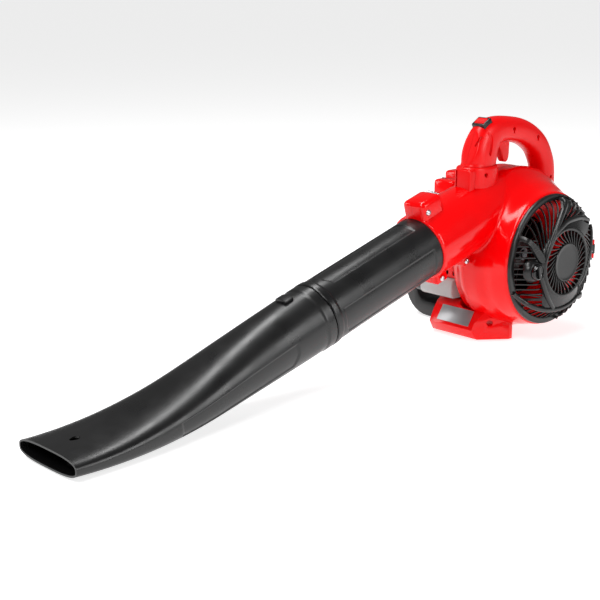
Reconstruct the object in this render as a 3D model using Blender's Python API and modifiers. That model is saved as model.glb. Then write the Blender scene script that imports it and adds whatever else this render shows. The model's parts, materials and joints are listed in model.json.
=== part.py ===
"""Hand-held petrol leaf blower: a volute housing with an intake grille, a two-stroke engine
on its far side, a D handle on top and a two-piece blow tube that runs forward and down.

Metres, +Z up. -Y is forward (the nozzle), +X is the intake side, and the ground is z = 0.
The origin is on the flat underside of the base foot. The fan axis runs along X, FAN_BACK
behind the origin, and the blow tube lies in the plane x = 0.
"""

import math

import bmesh
import bpy
from mathutils import Matrix, Vector

MM = 0.001
GAP = 0.3 * MM            # kept between two pieces that touch
TAU = 2 * math.pi
X, Y, Z = Vector((1, 0, 0)), Vector((0, 1, 0)), Vector((0, 0, 1))

# fan and volute
FAN_HEIGHT = 128 * MM     # fan axis above the ground
FAN_BACK = 56 * MM        # fan axis behind the origin
WALL = 3 * MM
VOLUTE_RADIUS = 106 * MM  # outside, where the scroll starts
SCROLL_GROWTH = 30 * MM   # what the radius gains round to the top
VOLUTE_BACK = 40 * MM     # engine-side wall, outside, from the tube plane
BELL_DEPTH = 78 * MM      # grille lip, from the tube plane
GRILLE_RADIUS = 100 * MM
GRILLE_HEIGHT = 32 * MM   # centre ring above the grille's lip
CENTRE_RING_RADIUS = 52 * MM
CAP_RADIUS = 29 * MM
IMPELLER_RADIUS = 84 * MM
BLADES = 12
EYE_RADIUS = 60 * MM
HUB_FRONT = 22 * MM       # face of the impeller hub, from the tube plane
SHAFT_RADIUS = 6 * MM

# blow tube
TUBE_RADIUS = 46 * MM
TUBE_WALL = 2.4 * MM
TUBE_TILT = math.radians(16.5)
TUBE_CROWN = 140.5 * MM   # top of the tube above the fan axis, square to the tube
TUBE_OFFSET = TUBE_CROWN - TUBE_RADIUS
NECK_END = 191 * MM       # distances along the tube axis, from its nearest point to the fan
SOCKET_DEPTH = 42 * MM
JOINT_AT = 412 * MM
NOZZLE_RUN = 427 * MM     # nozzle length, level with the ground, from the joint to the tip
NOZZLE_STRAIGHT = 200 * MM
TIP_WIDTH = 121 * MM
TIP_HEIGHT = 25.6 * MM

# handle
GRIP_RADIUS = 19.5 * MM
HANDLE_WALL = 3 * MM
COLLAR_TOP = 143.5 * MM   # above the fan axis
TRIGGER_WIDTH = 12 * MM

# engine
ENGINE_X = -78 * MM       # cylinder axis
CASE_HALF_LENGTH = 25 * MM
CASE_TOP = 32 * MM        # above the fan axis
CYLINDER_TOP = 84 * MM
BORE_RADIUS = 17 * MM
FIN_HALF = 26 * MM
FINS = 6
FLYWHEEL_RADIUS = 28 * MM
SHEET = 2.5 * MM          # moulded covers
COVER_TOP = 118 * MM
SHROUD_FRONT = 70 * MM
SHROUD_LEFT = -108 * MM
STARTER_RADIUS = 41 * MM
STARTER_DEPTH = 32 * MM
PULLEY_RADIUS = 22 * MM
TANK_LEFT = -110 * MM
TANK_TOP = -43 * MM       # below the fan axis
CAP_OUTER = 20 * MM

# feet
BASE_FRONT = 79 * MM      # before the fan axis, at the ground
FOOT_TOP = FAN_HEIGHT - 83 * MM
LEG_FRONT = 31.5 * MM
LEG_REACH = -184 * MM
LEG_THICKNESS = 25 * MM

FINISHES = {
    # name: colour, roughness, metallic
    "red_gloss": ((0.80, 0.012, 0.010), 0.22, 0.0),
    "red_satin": ((0.74, 0.010, 0.012), 0.38, 0.0),
    "black_satin": ((0.030, 0.030, 0.032), 0.42, 0.0),
    "black_gloss": ((0.012, 0.012, 0.013), 0.12, 0.0),
    "rubber": ((0.020, 0.020, 0.020), 0.70, 0.0),
    "tank": ((0.72, 0.72, 0.70), 0.40, 0.0),
    "foam": ((0.16, 0.16, 0.17), 0.95, 0.0),
    "alloy": ((0.60, 0.60, 0.62), 0.40, 1.0),
    "steel": ((0.62, 0.62, 0.64), 0.25, 1.0),
    "ceramic": ((0.85, 0.85, 0.82), 0.20, 0.0),
    "plate": ((0.66, 0.66, 0.67), 0.35, 1.0),
}


# ---------------------------------------------------------------- scene and helpers

def clear_scene():
    for old in list(bpy.data.objects):
        bpy.data.objects.remove(old)


def new_collection(name):
    collection = bpy.data.collections.new(name)
    bpy.context.scene.collection.children.link(collection)
    return collection


def finish_material(name):
    if name in bpy.data.materials:
        return bpy.data.materials[name]
    colour, roughness, metallic = FINISHES[name]
    material = bpy.data.materials.new(name)
    material.use_nodes = True
    shader = material.node_tree.nodes["Principled BSDF"]
    shader.inputs["Base Color"].default_value = (*colour, 1.0)
    shader.inputs["Roughness"].default_value = roughness
    shader.inputs["Metallic"].default_value = metallic
    material.diffuse_color = (*colour, 1.0)
    return material


def put(obj, finish):
    """Links a part with its own material, or a helper (finish None) that is never rendered."""
    if finish is None:
        cutters.objects.link(obj)
        obj.hide_render = True
        obj.display_type = "WIRE"
        return obj
    parts.objects.link(obj)
    material = finish_material(finish).copy()
    material.name = obj.name + "_finish"
    obj.data.materials.append(material)
    return obj


def from_bmesh(name, bm, finish):
    bmesh.ops.recalc_face_normals(bm, faces=bm.faces)
    mesh = bpy.data.meshes.new(name)
    bm.to_mesh(mesh)
    bm.free()
    mesh.shade_smooth()
    mesh.set_sharp_from_angle(angle=math.radians(35))
    return put(bpy.data.objects.new(name, mesh), finish)


def at(x, y, z):
    """A point in millimetres from the tube plane and the fan axis, as by_fan, but its height
    counts from 128 mm under the fan axis, which is the ground unless the fan is raised."""
    return by_fan(x * MM, y * MM, (z - 128) * MM)


def by_fan(x, y, z):
    """A point from the tube plane and the fan axis, in metres."""
    return Vector((x, FAN_BACK + y, FAN_HEIGHT + z))


def block(name, low, high, finish=None, edge=0.0, square=None):
    """A box between two corners, its edges rounded by edge, but not round the square face."""
    bm = bmesh.new()
    bmesh.ops.create_cube(bm, size=1.0)
    soft = [e for e in bm.edges if square is None or any(v.co.dot(square) < 0 for v in e.verts)]
    size = Vector(high) - Vector(low)
    bmesh.ops.scale(bm, vec=size, verts=bm.verts)
    bmesh.ops.translate(bm, vec=(Vector(low) + Vector(high)) / 2, verts=bm.verts)
    if edge:
        bmesh.ops.bevel(bm, geom=soft, offset=edge, segments=2, profile=0.5, affect="EDGES")
    return from_bmesh(name, bm, finish)


def rod(name, start, end, radius, finish=None, end_radius=None, sides=20):
    """A cylinder or cone from start to end."""
    start, end = Vector(start), Vector(end)
    turn = (end - start).to_track_quat("Z", "Y").to_matrix().to_4x4()
    bm = bmesh.new()
    bmesh.ops.create_cone(
        bm, cap_ends=True, segments=sides, radius1=radius,
        radius2=radius if end_radius is None else end_radius,
        depth=(end - start).length, matrix=Matrix.Translation((start + end) / 2) @ turn,
    )
    return from_bmesh(name, bm, finish)


def turned(name, profile, origin, direction, finish=None, steps=32):
    """A Screw of a profile of (radius, height), which runs down its outer side."""
    mesh = bpy.data.meshes.new(name)
    ring = all(radius > 0 for radius, _ in profile)
    count = len(profile)
    edges = [(i, (i + 1) % count) for i in range(count if ring else count - 1)]
    mesh.from_pydata([(radius, 0, height) for radius, height in profile], edges, [])
    obj = put(bpy.data.objects.new(name, mesh), finish)
    obj.location = origin
    obj.rotation_mode = "QUATERNION"
    obj.rotation_quaternion = Vector(direction).to_track_quat("Z", "Y")
    screw = obj.modifiers.new("turn", "SCREW")
    screw.axis = "Z"
    screw.steps = screw.render_steps = steps
    screw.use_merge_vertices = True
    screw.merge_threshold = 0.00001
    return obj


def extruded(name, outline, low, high, axis="X", finish=None):
    """A flat outline given along the two other axes, extruded along axis from low to high."""
    order = {"X": (2, 0, 1), "Y": (0, 2, 1), "Z": (0, 1, 2)}[axis]
    bm = bmesh.new()
    corners = []
    for u, v in outline:
        values = (u, v, low)
        corners.append(bm.verts.new([values[i] for i in order]))
    face = bm.faces.new(corners)
    sweep = Vector([(0, 0, high - low)[i] for i in order])
    more = bmesh.ops.extrude_face_region(bm, geom=[face])
    moved = [item for item in more["geom"] if isinstance(item, bmesh.types.BMVert)]
    bmesh.ops.translate(bm, vec=sweep, verts=moved)
    return from_bmesh(name, bm, finish)


def loft(name, rings, finish=None):
    """A closed skin through rings that have the same number of points."""
    bm = bmesh.new()
    made = [[bm.verts.new(point) for point in ring] for ring in rings]
    for ring, after in zip(made, made[1:]):
        for i in range(len(ring)):
            j = (i + 1) % len(ring)
            bm.faces.new((ring[i], ring[j], after[j], after[i]))
    bm.faces.new(made[0])
    bm.faces.new(made[-1])
    return from_bmesh(name, bm, finish)


def oval(centre, across, up, half_width, half_height, count=24, squareness=2.0):
    """A closed ring of points: an ellipse, or a rounder-cornered box as squareness grows."""
    ring = []
    for i in range(count):
        c, s = math.cos(TAU * i / count), math.sin(TAU * i / count)
        u = math.copysign(abs(c) ** (2 / squareness), c) * half_width
        v = math.copysign(abs(s) ** (2 / squareness), s) * half_height
        ring.append(Vector(centre) + across * u + up * v)
    return ring


def smooth_path(points, per_span=4):
    """Points along a Catmull-Rom curve through the given ones."""
    ends = [2 * points[0] - points[1]] + list(points) + [2 * points[-1] - points[-2]]
    path = []
    for a, b, c, d in zip(ends, ends[1:], ends[2:], ends[3:]):
        for step in range(per_span):
            t = step / per_span
            path.append(0.5 * (
                2 * b + (c - a) * t + (2 * a - 5 * b + 4 * c - d) * t * t
                + (3 * b - a - 3 * c + d) * t ** 3
            ))
    return path + [points[-1]]


def wire(name, points, radius, finish=None):
    """A tube along points. A helper is made a mesh, because it is used as a cutter."""
    curve = bpy.data.curves.new(name, "CURVE")
    curve.dimensions = "3D"
    curve.bevel_depth = radius
    curve.bevel_resolution = 2
    curve.use_fill_caps = True
    spline = curve.splines.new("POLY")
    spline.points.add(len(points) - 1)
    for target, point in zip(spline.points, points):
        target.co = (*point, 1.0)
    obj = bpy.data.objects.new(name, curve)
    if finish is not None:
        return put(obj, finish)
    bpy.context.scene.collection.objects.link(obj)
    graph = bpy.context.evaluated_depsgraph_get()
    mesh = bpy.data.meshes.new_from_object(obj.evaluated_get(graph))
    bpy.data.objects.remove(obj)
    bm = bmesh.new()
    bm.from_mesh(mesh)
    bmesh.ops.remove_doubles(bm, verts=bm.verts, dist=0.00001)
    return from_bmesh(name, bm, None)


def boolean(obj, others, operation):
    for other in others:
        step = obj.modifiers.new(operation.lower() + "_" + other.name, "BOOLEAN")
        step.operation = operation
        step.solver = "EXACT"
        step.object = other
    return obj


def cut(obj, *others):
    return boolean(obj, others, "DIFFERENCE")


def join(obj, *others):
    return boolean(obj, others, "UNION")


def keep(obj, *others):
    return boolean(obj, others, "INTERSECT")


def pivot(name, place, *moving, carried_by=None):
    """An empty on a joint's axis, which carries the pieces that turn or slide there."""
    empty = bpy.data.objects.new(name, None)
    parts.objects.link(empty)
    empty.location = place
    for obj in moving:
        obj.parent = empty
        obj.matrix_parent_inverse = Matrix.Translation(place).inverted()
    if carried_by is not None:
        empty.parent = carried_by
        empty.matrix_parent_inverse = Matrix.Translation(carried_by.location).inverted()
    return empty


TUBE_DIR = Vector((0, -math.cos(TUBE_TILT), -math.sin(TUBE_TILT)))
TUBE_UP = Vector((0, -math.sin(TUBE_TILT), math.cos(TUBE_TILT)))


def by_tube(along, up=0.0, side=0.0):
    """A point from the place on the tube axis that is nearest to the fan."""
    foot = by_fan(0, 0, 0) + TUBE_UP * TUBE_OFFSET
    return foot + TUBE_DIR * along + TUBE_UP * up + X * side


# ---------------------------------------------------------------- volute housing

def volute_ring(x, radius, share, count=32):
    """One slice of the volute. The scroll starts at the front and grows under, behind and over."""
    ring = []
    for i in range(count):
        angle = TAU * i / count
        turn = angle / TAU
        if turn < 0.78:
            growth = turn / 0.78
        else:
            growth = max(0.0, 1 - (turn - 0.78) / 0.17)
        size = radius + SCROLL_GROWTH * share * growth
        ring.append(by_fan(x, -size * math.cos(angle), -size * math.sin(angle)))
    return ring


def volute_body(name, inset=0.0, finish=None):
    """The volute's outer skin, moved in by inset (or out, where inset is less than 0)."""
    r = VOLUTE_RADIUS - inset
    back = -VOLUTE_BACK + inset
    bell = BELL_DEPTH if inset <= 0 else BELL_DEPTH + WALL
    lip = GRILLE_RADIUS + 2 * MM - inset
    return loft(name, [
        volute_ring(back, r - 12 * MM, 0.6),
        volute_ring(back + 4 * MM, r - 5 * MM, 0.85),
        volute_ring(back + 12 * MM, r - 1 * MM, 1.0),
        volute_ring(-10 * MM, r, 1.0),
        volute_ring(22 * MM, r, 1.0),
        volute_ring(38 * MM, r - 4 * MM, 0.85),
        volute_ring(52 * MM, (r + lip) / 2 - 2 * MM, 0.7),
        volute_ring(65 * MM, lip + 1 * MM, 0.5 if inset <= 0 else 0.45),
        volute_ring(bell, lip, 0.4 if inset <= 0 else 0.0),
    ], finish)


def neck_body(name, inset=0.0, end=0.0):
    """The round-to-oval neck that leads from the volute to the tube socket."""
    socket = TUBE_RADIUS + GAP + WALL + 1 * MM - inset
    root = VOLUTE_BACK - inset
    stations = (
        # along the tube, half width, half height
        (-20 * MM, root - 3.7 * MM, socket - 10 * MM),
        (30 * MM, root + 2.3 * MM, socket - 4 * MM),
        (80 * MM, root + 9.3 * MM, socket + 1 * MM),
        (130 * MM, socket + 1.5 * MM, socket + 2 * MM),
        (NECK_END + end, socket, socket),
    )
    rings = [oval(by_tube(along), X, TUBE_UP, wide, tall, 32) for along, wide, tall in stations]
    return loft(name, rings)


def tube_block(name, along, up, side, edge=3 * MM):
    """A rounded block whose sides run along, square to and across the tube axis."""
    obj = block(name, (side[0], along[0], up[0]), (side[1], along[1], up[1]), None, edge)
    frame = Matrix((
        (1, 0, 0, 0),
        (0, TUBE_DIR.y, TUBE_UP.y, 0),
        (0, TUBE_DIR.z, TUBE_UP.z, 0),
        (0, 0, 0, 1),
    ))
    frame.translation = by_tube(0)
    obj.data.transform(frame)
    obj.data.flip_normals()
    return obj


SCREWS = {
    # head's place along, above and beside the tube axis
    "top_screw": (NECK_END - 13 * MM, TUBE_RADIUS + 9 * MM, 28 * MM),
    "lower_screw": (NECK_END - 25 * MM, -TUBE_RADIUS - 14 * MM, 12 * MM),
    "front_screw": (110 * MM, -TUBE_RADIUS - 12 * MM, 14 * MM),
}
SCREW_LENGTH = 26 * MM


def housing_half(name, low_x, high_x):
    """Half of the hollow casting: volute, neck, tube socket, screw blocks and mountings."""
    tag = name + "_"
    shell = volute_body(name, finish="red_gloss")
    top, low, front = SCREWS["top_screw"], SCREWS["lower_screw"], SCREWS["front_screw"]
    join(
        shell,
        neck_body(tag + "neck"),
        tube_block(tag + "top_block", (NECK_END - 40 * MM, NECK_END - 2 * MM),
                   (TUBE_RADIUS - 12 * MM, top[1] + 7 * MM), (-30 * MM, top[2] - 1 * MM), 5 * MM),
        tube_block(tag + "low_block", (low[0] - 13 * MM, low[0] + 11 * MM),
                   (low[1] - 7 * MM, -TUBE_RADIUS + 8 * MM), (-20 * MM, low[2] - 1 * MM)),
        tube_block(tag + "front_block", (front[0] - 16 * MM, front[0] + 7 * MM),
                   (front[1] - 7 * MM, front[1] + 12 * MM), (-20 * MM, front[2] - 1 * MM)),
    )
    for low_z, high_z in HINGE_KNUCKLES[::2]:
        join(shell, rod(tag + "knuckle", hinge_point(low_z), hinge_point(high_z), HINGE_RADIUS),
             block(tag + "knuckle_arm", hinge_point(low_z) + Vector((-14 * MM, -8 * MM, 0)),
                   hinge_point(high_z) + Vector((-3 * MM, 2 * MM, 0))))
    bore = TUBE_RADIUS + GAP
    inner = neck_body(tag + "duct", inset=WALL + 4.5 * MM, end=0.5 * MM)
    cut(
        shell,
        volute_body(tag + "hollow", inset=WALL),
        inner,
        rod(tag + "socket", by_tube(NECK_END - SOCKET_DEPTH), by_tube(NECK_END + 5 * MM), bore,
            sides=32),
        rod(tag + "shaft_hole", by_fan(-VOLUTE_BACK - WALL, 0, 0), by_fan(0, 0, 0),
            SHAFT_RADIUS + 6 * MM),
        rod(tag + "pin_hole", hinge_point(-20 * MM), hinge_point(20 * MM), PIN_RADIUS + GAP),
    )
    for screw, (along, up, side) in SCREWS.items():
        start = by_tube(along, up, side)
        cut(shell, rod(tag + screw, start + X * 5 * MM, start - X * (SCREW_LENGTH + 1 * MM),
                       2.3 * MM, sides=16))
    reach = 400 * MM
    keep(shell, block(tag + "side", (low_x, -reach, -reach), (high_x, reach, 2 * reach)))
    return shell


def screw(name):
    along, up, side = SCREWS[name]
    seat = by_tube(along, up, side - 1 * MM + GAP)
    obj = turned(name, [
        (0, 3.4 * MM), (2.6 * MM, 3.2 * MM), (4.6 * MM, 1.8 * MM), (4.6 * MM, 0),
        (2.0 * MM, 0), (2.0 * MM, -SCREW_LENGTH), (0, -SCREW_LENGTH),
    ], seat, X, "steel", 16)
    return cut(obj, block(name + "_slot", seat + Vector((1.6 * MM, -0.6 * MM, -3 * MM)),
                          seat + Vector((5 * MM, 0.6 * MM, 3 * MM))))


def inlet_cone():
    """The red bell mouth behind the grille, which leads the air into the impeller's eye."""
    lip, wide = 30 * MM, BELL_DEPTH - 1 * MM
    outer = GRILLE_RADIUS + 2 * MM - WALL - GAP - 0.6 * MM
    steps = 4
    front, back = [], []
    for i in range(steps + 1):
        t = i / steps
        radius = EYE_RADIUS + (outer - EYE_RADIUS) * t ** 1.5
        height = lip + (wide - lip) * t ** 0.8
        front.append((radius, height))
        back.append((radius + 2.4 * MM * (1 - t) + 0.6 * MM, height - 2.4 * MM * t))
    return turned("inlet_cone", list(reversed(back)) + front, by_fan(0, 0, 0), X, "red_satin", 24)


# ---------------------------------------------------------------- fan and grille

def impeller():
    """A back plate, a hub and curved blades cut from one star-shaped outline."""
    inner, middle, outer = 22 * MM, 0.62 * IMPELLER_RADIUS, IMPELLER_RADIUS
    side = ((inner, 0.0), (middle, -0.10), (outer, -0.16), (outer, -0.13), (middle, -0.055),
            (inner, 0.10))
    flat = []
    for blade in range(BLADES):
        for radius, lead in side:
            angle = TAU * blade / BLADES + lead
            flat.append((FAN_BACK + radius * math.cos(angle),
                         FAN_HEIGHT + radius * math.sin(angle)))
    fan = extruded("impeller", flat, -26 * MM, HUB_FRONT, "X", "black_satin")
    join(fan, rod("impeller_plate", by_fan(-28 * MM, 0, 0), by_fan(-25 * MM, 0, 0),
                  IMPELLER_RADIUS + 1 * MM, sides=32),
         rod("impeller_hub", by_fan(-30 * MM, 0, 0), by_fan(HUB_FRONT, 0, 0), inner + 1.5 * MM))
    return cut(fan, rod("impeller_bore", by_fan(-35 * MM, 0, 0), by_fan(HUB_FRONT + 5 * MM, 0, 0),
                        SHAFT_RADIUS + GAP))


def impeller_nut():
    nut = rod("impeller_nut", by_fan(HUB_FRONT + GAP, 0, 0), by_fan(HUB_FRONT + 9 * MM, 0, 0),
              11 * MM, "steel", sides=6)
    return cut(nut, rod("nut_bore", by_fan(0, 0, 0), by_fan(2 * HUB_FRONT, 0, 0),
                        SHAFT_RADIUS + GAP, sides=16))


def dome_height(radius):
    """How far the grille's skin stands above its lip."""
    t = (GRILLE_RADIUS - radius) / (GRILLE_RADIUS - CENTRE_RING_RADIUS)
    return 5 * MM + (GRILLE_HEIGHT - 5 * MM) * min(1.0, t) ** 0.8


def sector(name, inner, outer, low, high, start, end, steps=2):
    """A cutter shaped as a slice of a ring about the fan axis."""
    arc = [start + (end - start) * i / steps for i in range(steps + 1)]
    flat = [(outer, angle) for angle in arc] + [(inner, angle) for angle in reversed(arc)]
    outline = [
        (FAN_BACK + radius * math.cos(angle), FAN_HEIGHT + radius * math.sin(angle))
        for radius, angle in flat
    ]
    return extruded(name, outline, low, high)


KNOB = (-70 * MM, -4 * MM)      # knob's place behind and above the fan axis
KNOB_RADIUS = 12 * MM
HINGE_RADIUS = 4.5 * MM
PIN_RADIUS = 2 * MM
HINGE_KNUCKLES = ((-18 * MM, -7 * MM - GAP), (-7 * MM, 7 * MM), (7 * MM + GAP, 18 * MM))


def hinge_point(height):
    """A point on the grille's hinge pin, behind its lip."""
    return by_fan(BELL_DEPTH + 5.2 * MM, GRILLE_RADIUS + 7.5 * MM, height)


GRILLE_LIP = BELL_DEPTH + GAP


def grille_cover():
    """The domed intake grille: a lip, a ribbed dome, a vaned centre ring and a plain cap."""
    lip = GRILLE_LIP
    thick = 3 * MM
    outer = [(CAP_RADIUS * 0.5, GRILLE_HEIGHT + 1 * MM), (CENTRE_RING_RADIUS, GRILLE_HEIGHT)]
    for share in (0.25, 0.6, 0.9):
        radius = CENTRE_RING_RADIUS + (GRILLE_RADIUS - CENTRE_RING_RADIUS) * share
        outer.append((radius, dome_height(radius)))
    outer += [(GRILLE_RADIUS, 4 * MM), (GRILLE_RADIUS, 0)]
    inner = [(GRILLE_RADIUS - 5 * MM, 0)]
    inner += [(radius - 1.5 * MM, height - thick) for radius, height in reversed(outer[1:-3])]
    inner += [(CAP_RADIUS * 0.5, GRILLE_HEIGHT - 2 * MM)]
    grille = turned("grille_cover", outer + inner, by_fan(lip, 0, 0), X, "black_satin", 28)
    cap = rod("grille_cap", by_fan(lip + GRILLE_HEIGHT - 3 * MM, 0, 0),
              by_fan(lip + GRILLE_HEIGHT + 2 * MM, 0, 0), CAP_RADIUS, sides=32)
    stem = by_fan(lip, *KNOB)
    boss = rod("grille_boss", stem + X * 17 * MM, stem + X * 30.3 * MM, 8 * MM)
    knuckle = rod("grille_knuckle", hinge_point(HINGE_KNUCKLES[1][0]),
                  hinge_point(HINGE_KNUCKLES[1][1]), HINGE_RADIUS)
    arm = block("grille_arm", hinge_point(HINGE_KNUCKLES[1][0]) + Vector((-2 * MM, -14 * MM, 0)),
                hinge_point(HINGE_KNUCKLES[1][1]) + Vector((2.5 * MM, 0, 0)))
    join(grille, cap, boss, knuckle, arm)
    low, high = lip - 2 * MM, lip + 50 * MM
    ribs = 16
    for i in range(ribs):
        start = TAU * (i + 0.12) / ribs
        if i not in (8,):
            cut(grille, sector(f"grille_gap_{i}", CENTRE_RING_RADIUS + 4 * MM,
                               GRILLE_RADIUS - 9 * MM, low, high, start, start + TAU * 0.76 / ribs))
    vanes = 10
    for i in range(vanes):
        start = TAU * (i + 0.15) / vanes
        cut(grille, sector(f"centre_gap_{i}", CAP_RADIUS + 3 * MM, CENTRE_RING_RADIUS - 4 * MM,
                           low, high, start, start + TAU * 0.7 / vanes))
    return cut(
        grille,
        rod("knob_hole", stem, stem + X * 40 * MM, 4.5 * MM + GAP, sides=16),
        rod("grille_pin_hole", hinge_point(-20 * MM), hinge_point(20 * MM), PIN_RADIUS + GAP,
            sides=16),
    )


def grille_knob():
    stem = by_fan(GRILLE_LIP, *KNOB)
    knob = turned("grille_knob", [
        (0, 39 * MM), (9 * MM, 38.5 * MM), (KNOB_RADIUS, 36 * MM), (KNOB_RADIUS, 30.6 * MM),
        (4.5 * MM, 30.6 * MM), (4.5 * MM, 12 * MM), (0, 12 * MM),
    ], stem, X, "black_gloss", 32)
    return cut(knob, block("knob_slot", stem + Vector((36 * MM, -1.2 * MM, -8 * MM)),
                           stem + Vector((42 * MM, 1.2 * MM, 8 * MM))))


def hinge_pin():
    return rod("grille_hinge_pin", hinge_point(-18 * MM), hinge_point(18 * MM), PIN_RADIUS,
               "steel", sides=16)


# ---------------------------------------------------------------- blow tube

def upper_tube():
    start = NECK_END - SOCKET_DEPTH + 2 * MM
    tube = rod("upper_tube", by_tube(start), by_tube(JOINT_AT), TUBE_RADIUS, "black_satin",
               sides=32)
    bore = rod("upper_tube_bore", by_tube(start - 5 * MM), by_tube(JOINT_AT + 5 * MM),
               TUBE_RADIUS - TUBE_WALL, sides=32)
    return cut(tube, bore)


SLEEVE_DEPTH = 34 * MM    # how far the nozzle reaches into the upper tube


def nozzle_ring(run, inset):
    """A slice of the nozzle, run along the ground from the joint. It goes from round to flat."""
    joint = by_tube(JOINT_AT)
    drop = math.tan(TUBE_TILT)
    end_height = TIP_HEIGHT / 2
    lift = end_height - (joint.z - drop * NOZZLE_RUN)
    curve = max(0.0, run - NOZZLE_STRAIGHT) / (NOZZLE_RUN - NOZZLE_STRAIGHT)
    centre = joint + Vector((0, -run, -drop * run + lift * curve ** 2))
    slope = -drop + 2 * lift * curve / (NOZZLE_RUN - NOZZLE_STRAIGHT)
    up = Vector((0, slope, 1)).normalized()
    t = max(0.0, run - 30 * MM) / (NOZZLE_RUN - 30 * MM)
    flat = t * t * (3 - 2 * t)
    half_width = TUBE_RADIUS + (TIP_WIDTH / 2 - TUBE_RADIUS) * flat
    half_height = TUBE_RADIUS + (TIP_HEIGHT / 2 - TUBE_RADIUS) * (0.35 * t + 0.65 * flat)
    if run >= NOZZLE_RUN:
        up = Z
    return oval(centre, X, up, half_width - inset, half_height - inset, 28, 2 + 0.9 * flat)


def nozzle_tube():
    """The outer tube: a sleeve in the upper tube's end, a round collar and a flat tip."""
    gap_run = (2 * MM) * math.cos(TUBE_TILT)
    runs = [gap_run] + [30 * MM + (NOZZLE_RUN - 30 * MM) * i / 7 for i in range(8)]
    nozzle = loft("nozzle_tube", [nozzle_ring(run, 0.0) for run in runs], "black_satin")
    sleeve_radius = TUBE_RADIUS - TUBE_WALL - GAP
    sleeve = rod("nozzle_sleeve", by_tube(JOINT_AT - SLEEVE_DEPTH), by_tube(JOINT_AT + 20 * MM),
                 sleeve_radius, sides=28)
    join(nozzle, sleeve)
    first = nozzle_ring(0.0, TUBE_WALL * 2 + GAP)
    back = [point - TUBE_DIR * (SLEEVE_DEPTH + 10 * MM) for point in first]
    middle = [nozzle_ring(run, TUBE_WALL * 2 + GAP if run < 30 * MM else TUBE_WALL)
              for run in runs[1:]]
    tip = [point - Y * 10 * MM for point in nozzle_ring(NOZZLE_RUN, TUBE_WALL)]
    cut(nozzle, loft("nozzle_bore", [back, first] + middle + [tip]))
    hole = by_tube(JOINT_AT) + Vector((0, -(NOZZLE_RUN - 40 * MM), 0))
    return cut(nozzle, rod("hang_hole", Vector((0, hole.y, TIP_HEIGHT / 2)),
                           Vector((0, hole.y, 4 * TIP_HEIGHT)), 5 * MM, sides=16))


# ---------------------------------------------------------------- handle

HANDLE_PATH = (
    # behind the fan axis, height, half depth, half width (all mm): pillar, grip, rear post
    (-80, 262, 30, 19.5), (-79, 285, 32, 21), (-73, 301, 30, 20.5), (-62, 314, 26, 20),
    (-44, 321, 21, 19.5), (-19, 320.5, 19.5, 19.5), (10, 315.5, 19.5, 19.5),
    (36, 305, 19.5, 19.5), (58, 289, 19.5, 19.5), (72, 268, 19.5, 19.5),
    (78, 250, 19.5, 19.5), (80, 215, 19.5, 19.5),
)


def handle_skin(name, inset, reach=0.0, finish=None):
    """The handle's outer skin, or its hollow, which runs out of both ends by reach."""
    centres = [at(0, y, z) for y, z, _, _ in HANDLE_PATH]
    rings = []
    last = len(centres) - 1
    for i, (centre, (_, _, deep, wide)) in enumerate(zip(centres, HANDLE_PATH)):
        along = (centres[min(i + 1, last)] - centres[max(i - 1, 0)]).normalized()
        if i == 0:
            along = Z
        if i == last:
            along = -Z
        out = X.cross(along)
        if i in (0, last):
            centre = centre + along * (reach if i else -reach)
        rings.append(oval(centre, X, out, wide * MM - inset, deep * MM - inset, 20, 2.3))
    return loft(name, rings, finish)


TRIGGER_PIVOT = at(0, -38, 314)
SWITCH_AT = at(0, -75.5, 335.5)
SWITCH_OUT = Vector((0, -0.5, 0.866))
SWITCH_ALONG = Vector((0, 0.866, 0.5))


def switch_block(name, half_x, half_along, low, high, finish=None, edge=0.0):
    """A block that sits square to the switch's face."""
    obj = block(name, (-half_x, -half_along, low), (half_x, half_along, high), finish, edge)
    frame = Matrix((
        (1, 0, 0, 0),
        (0, SWITCH_ALONG.y, SWITCH_OUT.y, 0),
        (0, SWITCH_ALONG.z, SWITCH_OUT.z, 0),
        (0, 0, 0, 1),
    ))
    frame.translation = SWITCH_AT
    obj.data.transform(frame)
    return obj


def cable_points():
    """The throttle cable's route from the trigger, out of the collar, to the carburettor."""
    route = [at(*p) for p in (
        (-11, -52, 306), (-11, -64, 290), (-13, -70, 272), (-18, -69, 265), (-27, -67, 263),
        (-40, -63, 261), (-50, -56, 252), (-56, -46, 235), (-60, -43, 214),
    )]
    return smooth_path(route, 2)


def handle_half(name, low_x, high_x):
    tag = name + "_"
    shell = handle_skin(name, 0.0, finish="red_satin")
    far = 500 * MM
    slot = TRIGGER_WIDTH / 2 + 0.8 * MM
    cut(
        shell,
        handle_skin(tag + "hollow", HANDLE_WALL, 5 * MM),
        block(tag + "trigger_slot", at(0, -51, 265) - X * slot, at(0, -2, 310) + X * slot),
        switch_block(tag + "switch_hole", 12 * MM + GAP, 10 * MM + GAP, -16 * MM, 8 * MM),
        volute_body(tag + "foot_trim", -2 * GAP),
        wire(tag + "cable_hole", cable_points(), 3.2 * MM),
    )
    for y, z in ((7, 318), (65, 298)):
        cut(shell, rod(tag + f"screw_hole_{y}", at(12, y, z), at(30, y, z), 2.6 * MM, sides=12))
    return keep(shell, block(tag + "side", (low_x, -far, -far), (high_x, far, far)))


def trigger():
    outline = [tuple(at(0, y, z).yz) for y, z in (
        (-45, 309), (-43.5, 317), (-38, 320.5), (-31, 318), (-15, 305), (-13.5, 290), (-15, 277),
        (-18, 272), (-22, 271), (-25.5, 274), (-29, 281), (-35, 290), (-42, 299),
    )]
    lever = extruded("trigger", outline, -TRIGGER_WIDTH / 2, TRIGGER_WIDTH / 2, "X", "red_satin")
    return cut(lever, rod("trigger_bore", TRIGGER_PIVOT - X * 20 * MM, TRIGGER_PIVOT + X * 20 * MM,
                          2.2 * MM + GAP, sides=16))


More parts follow.
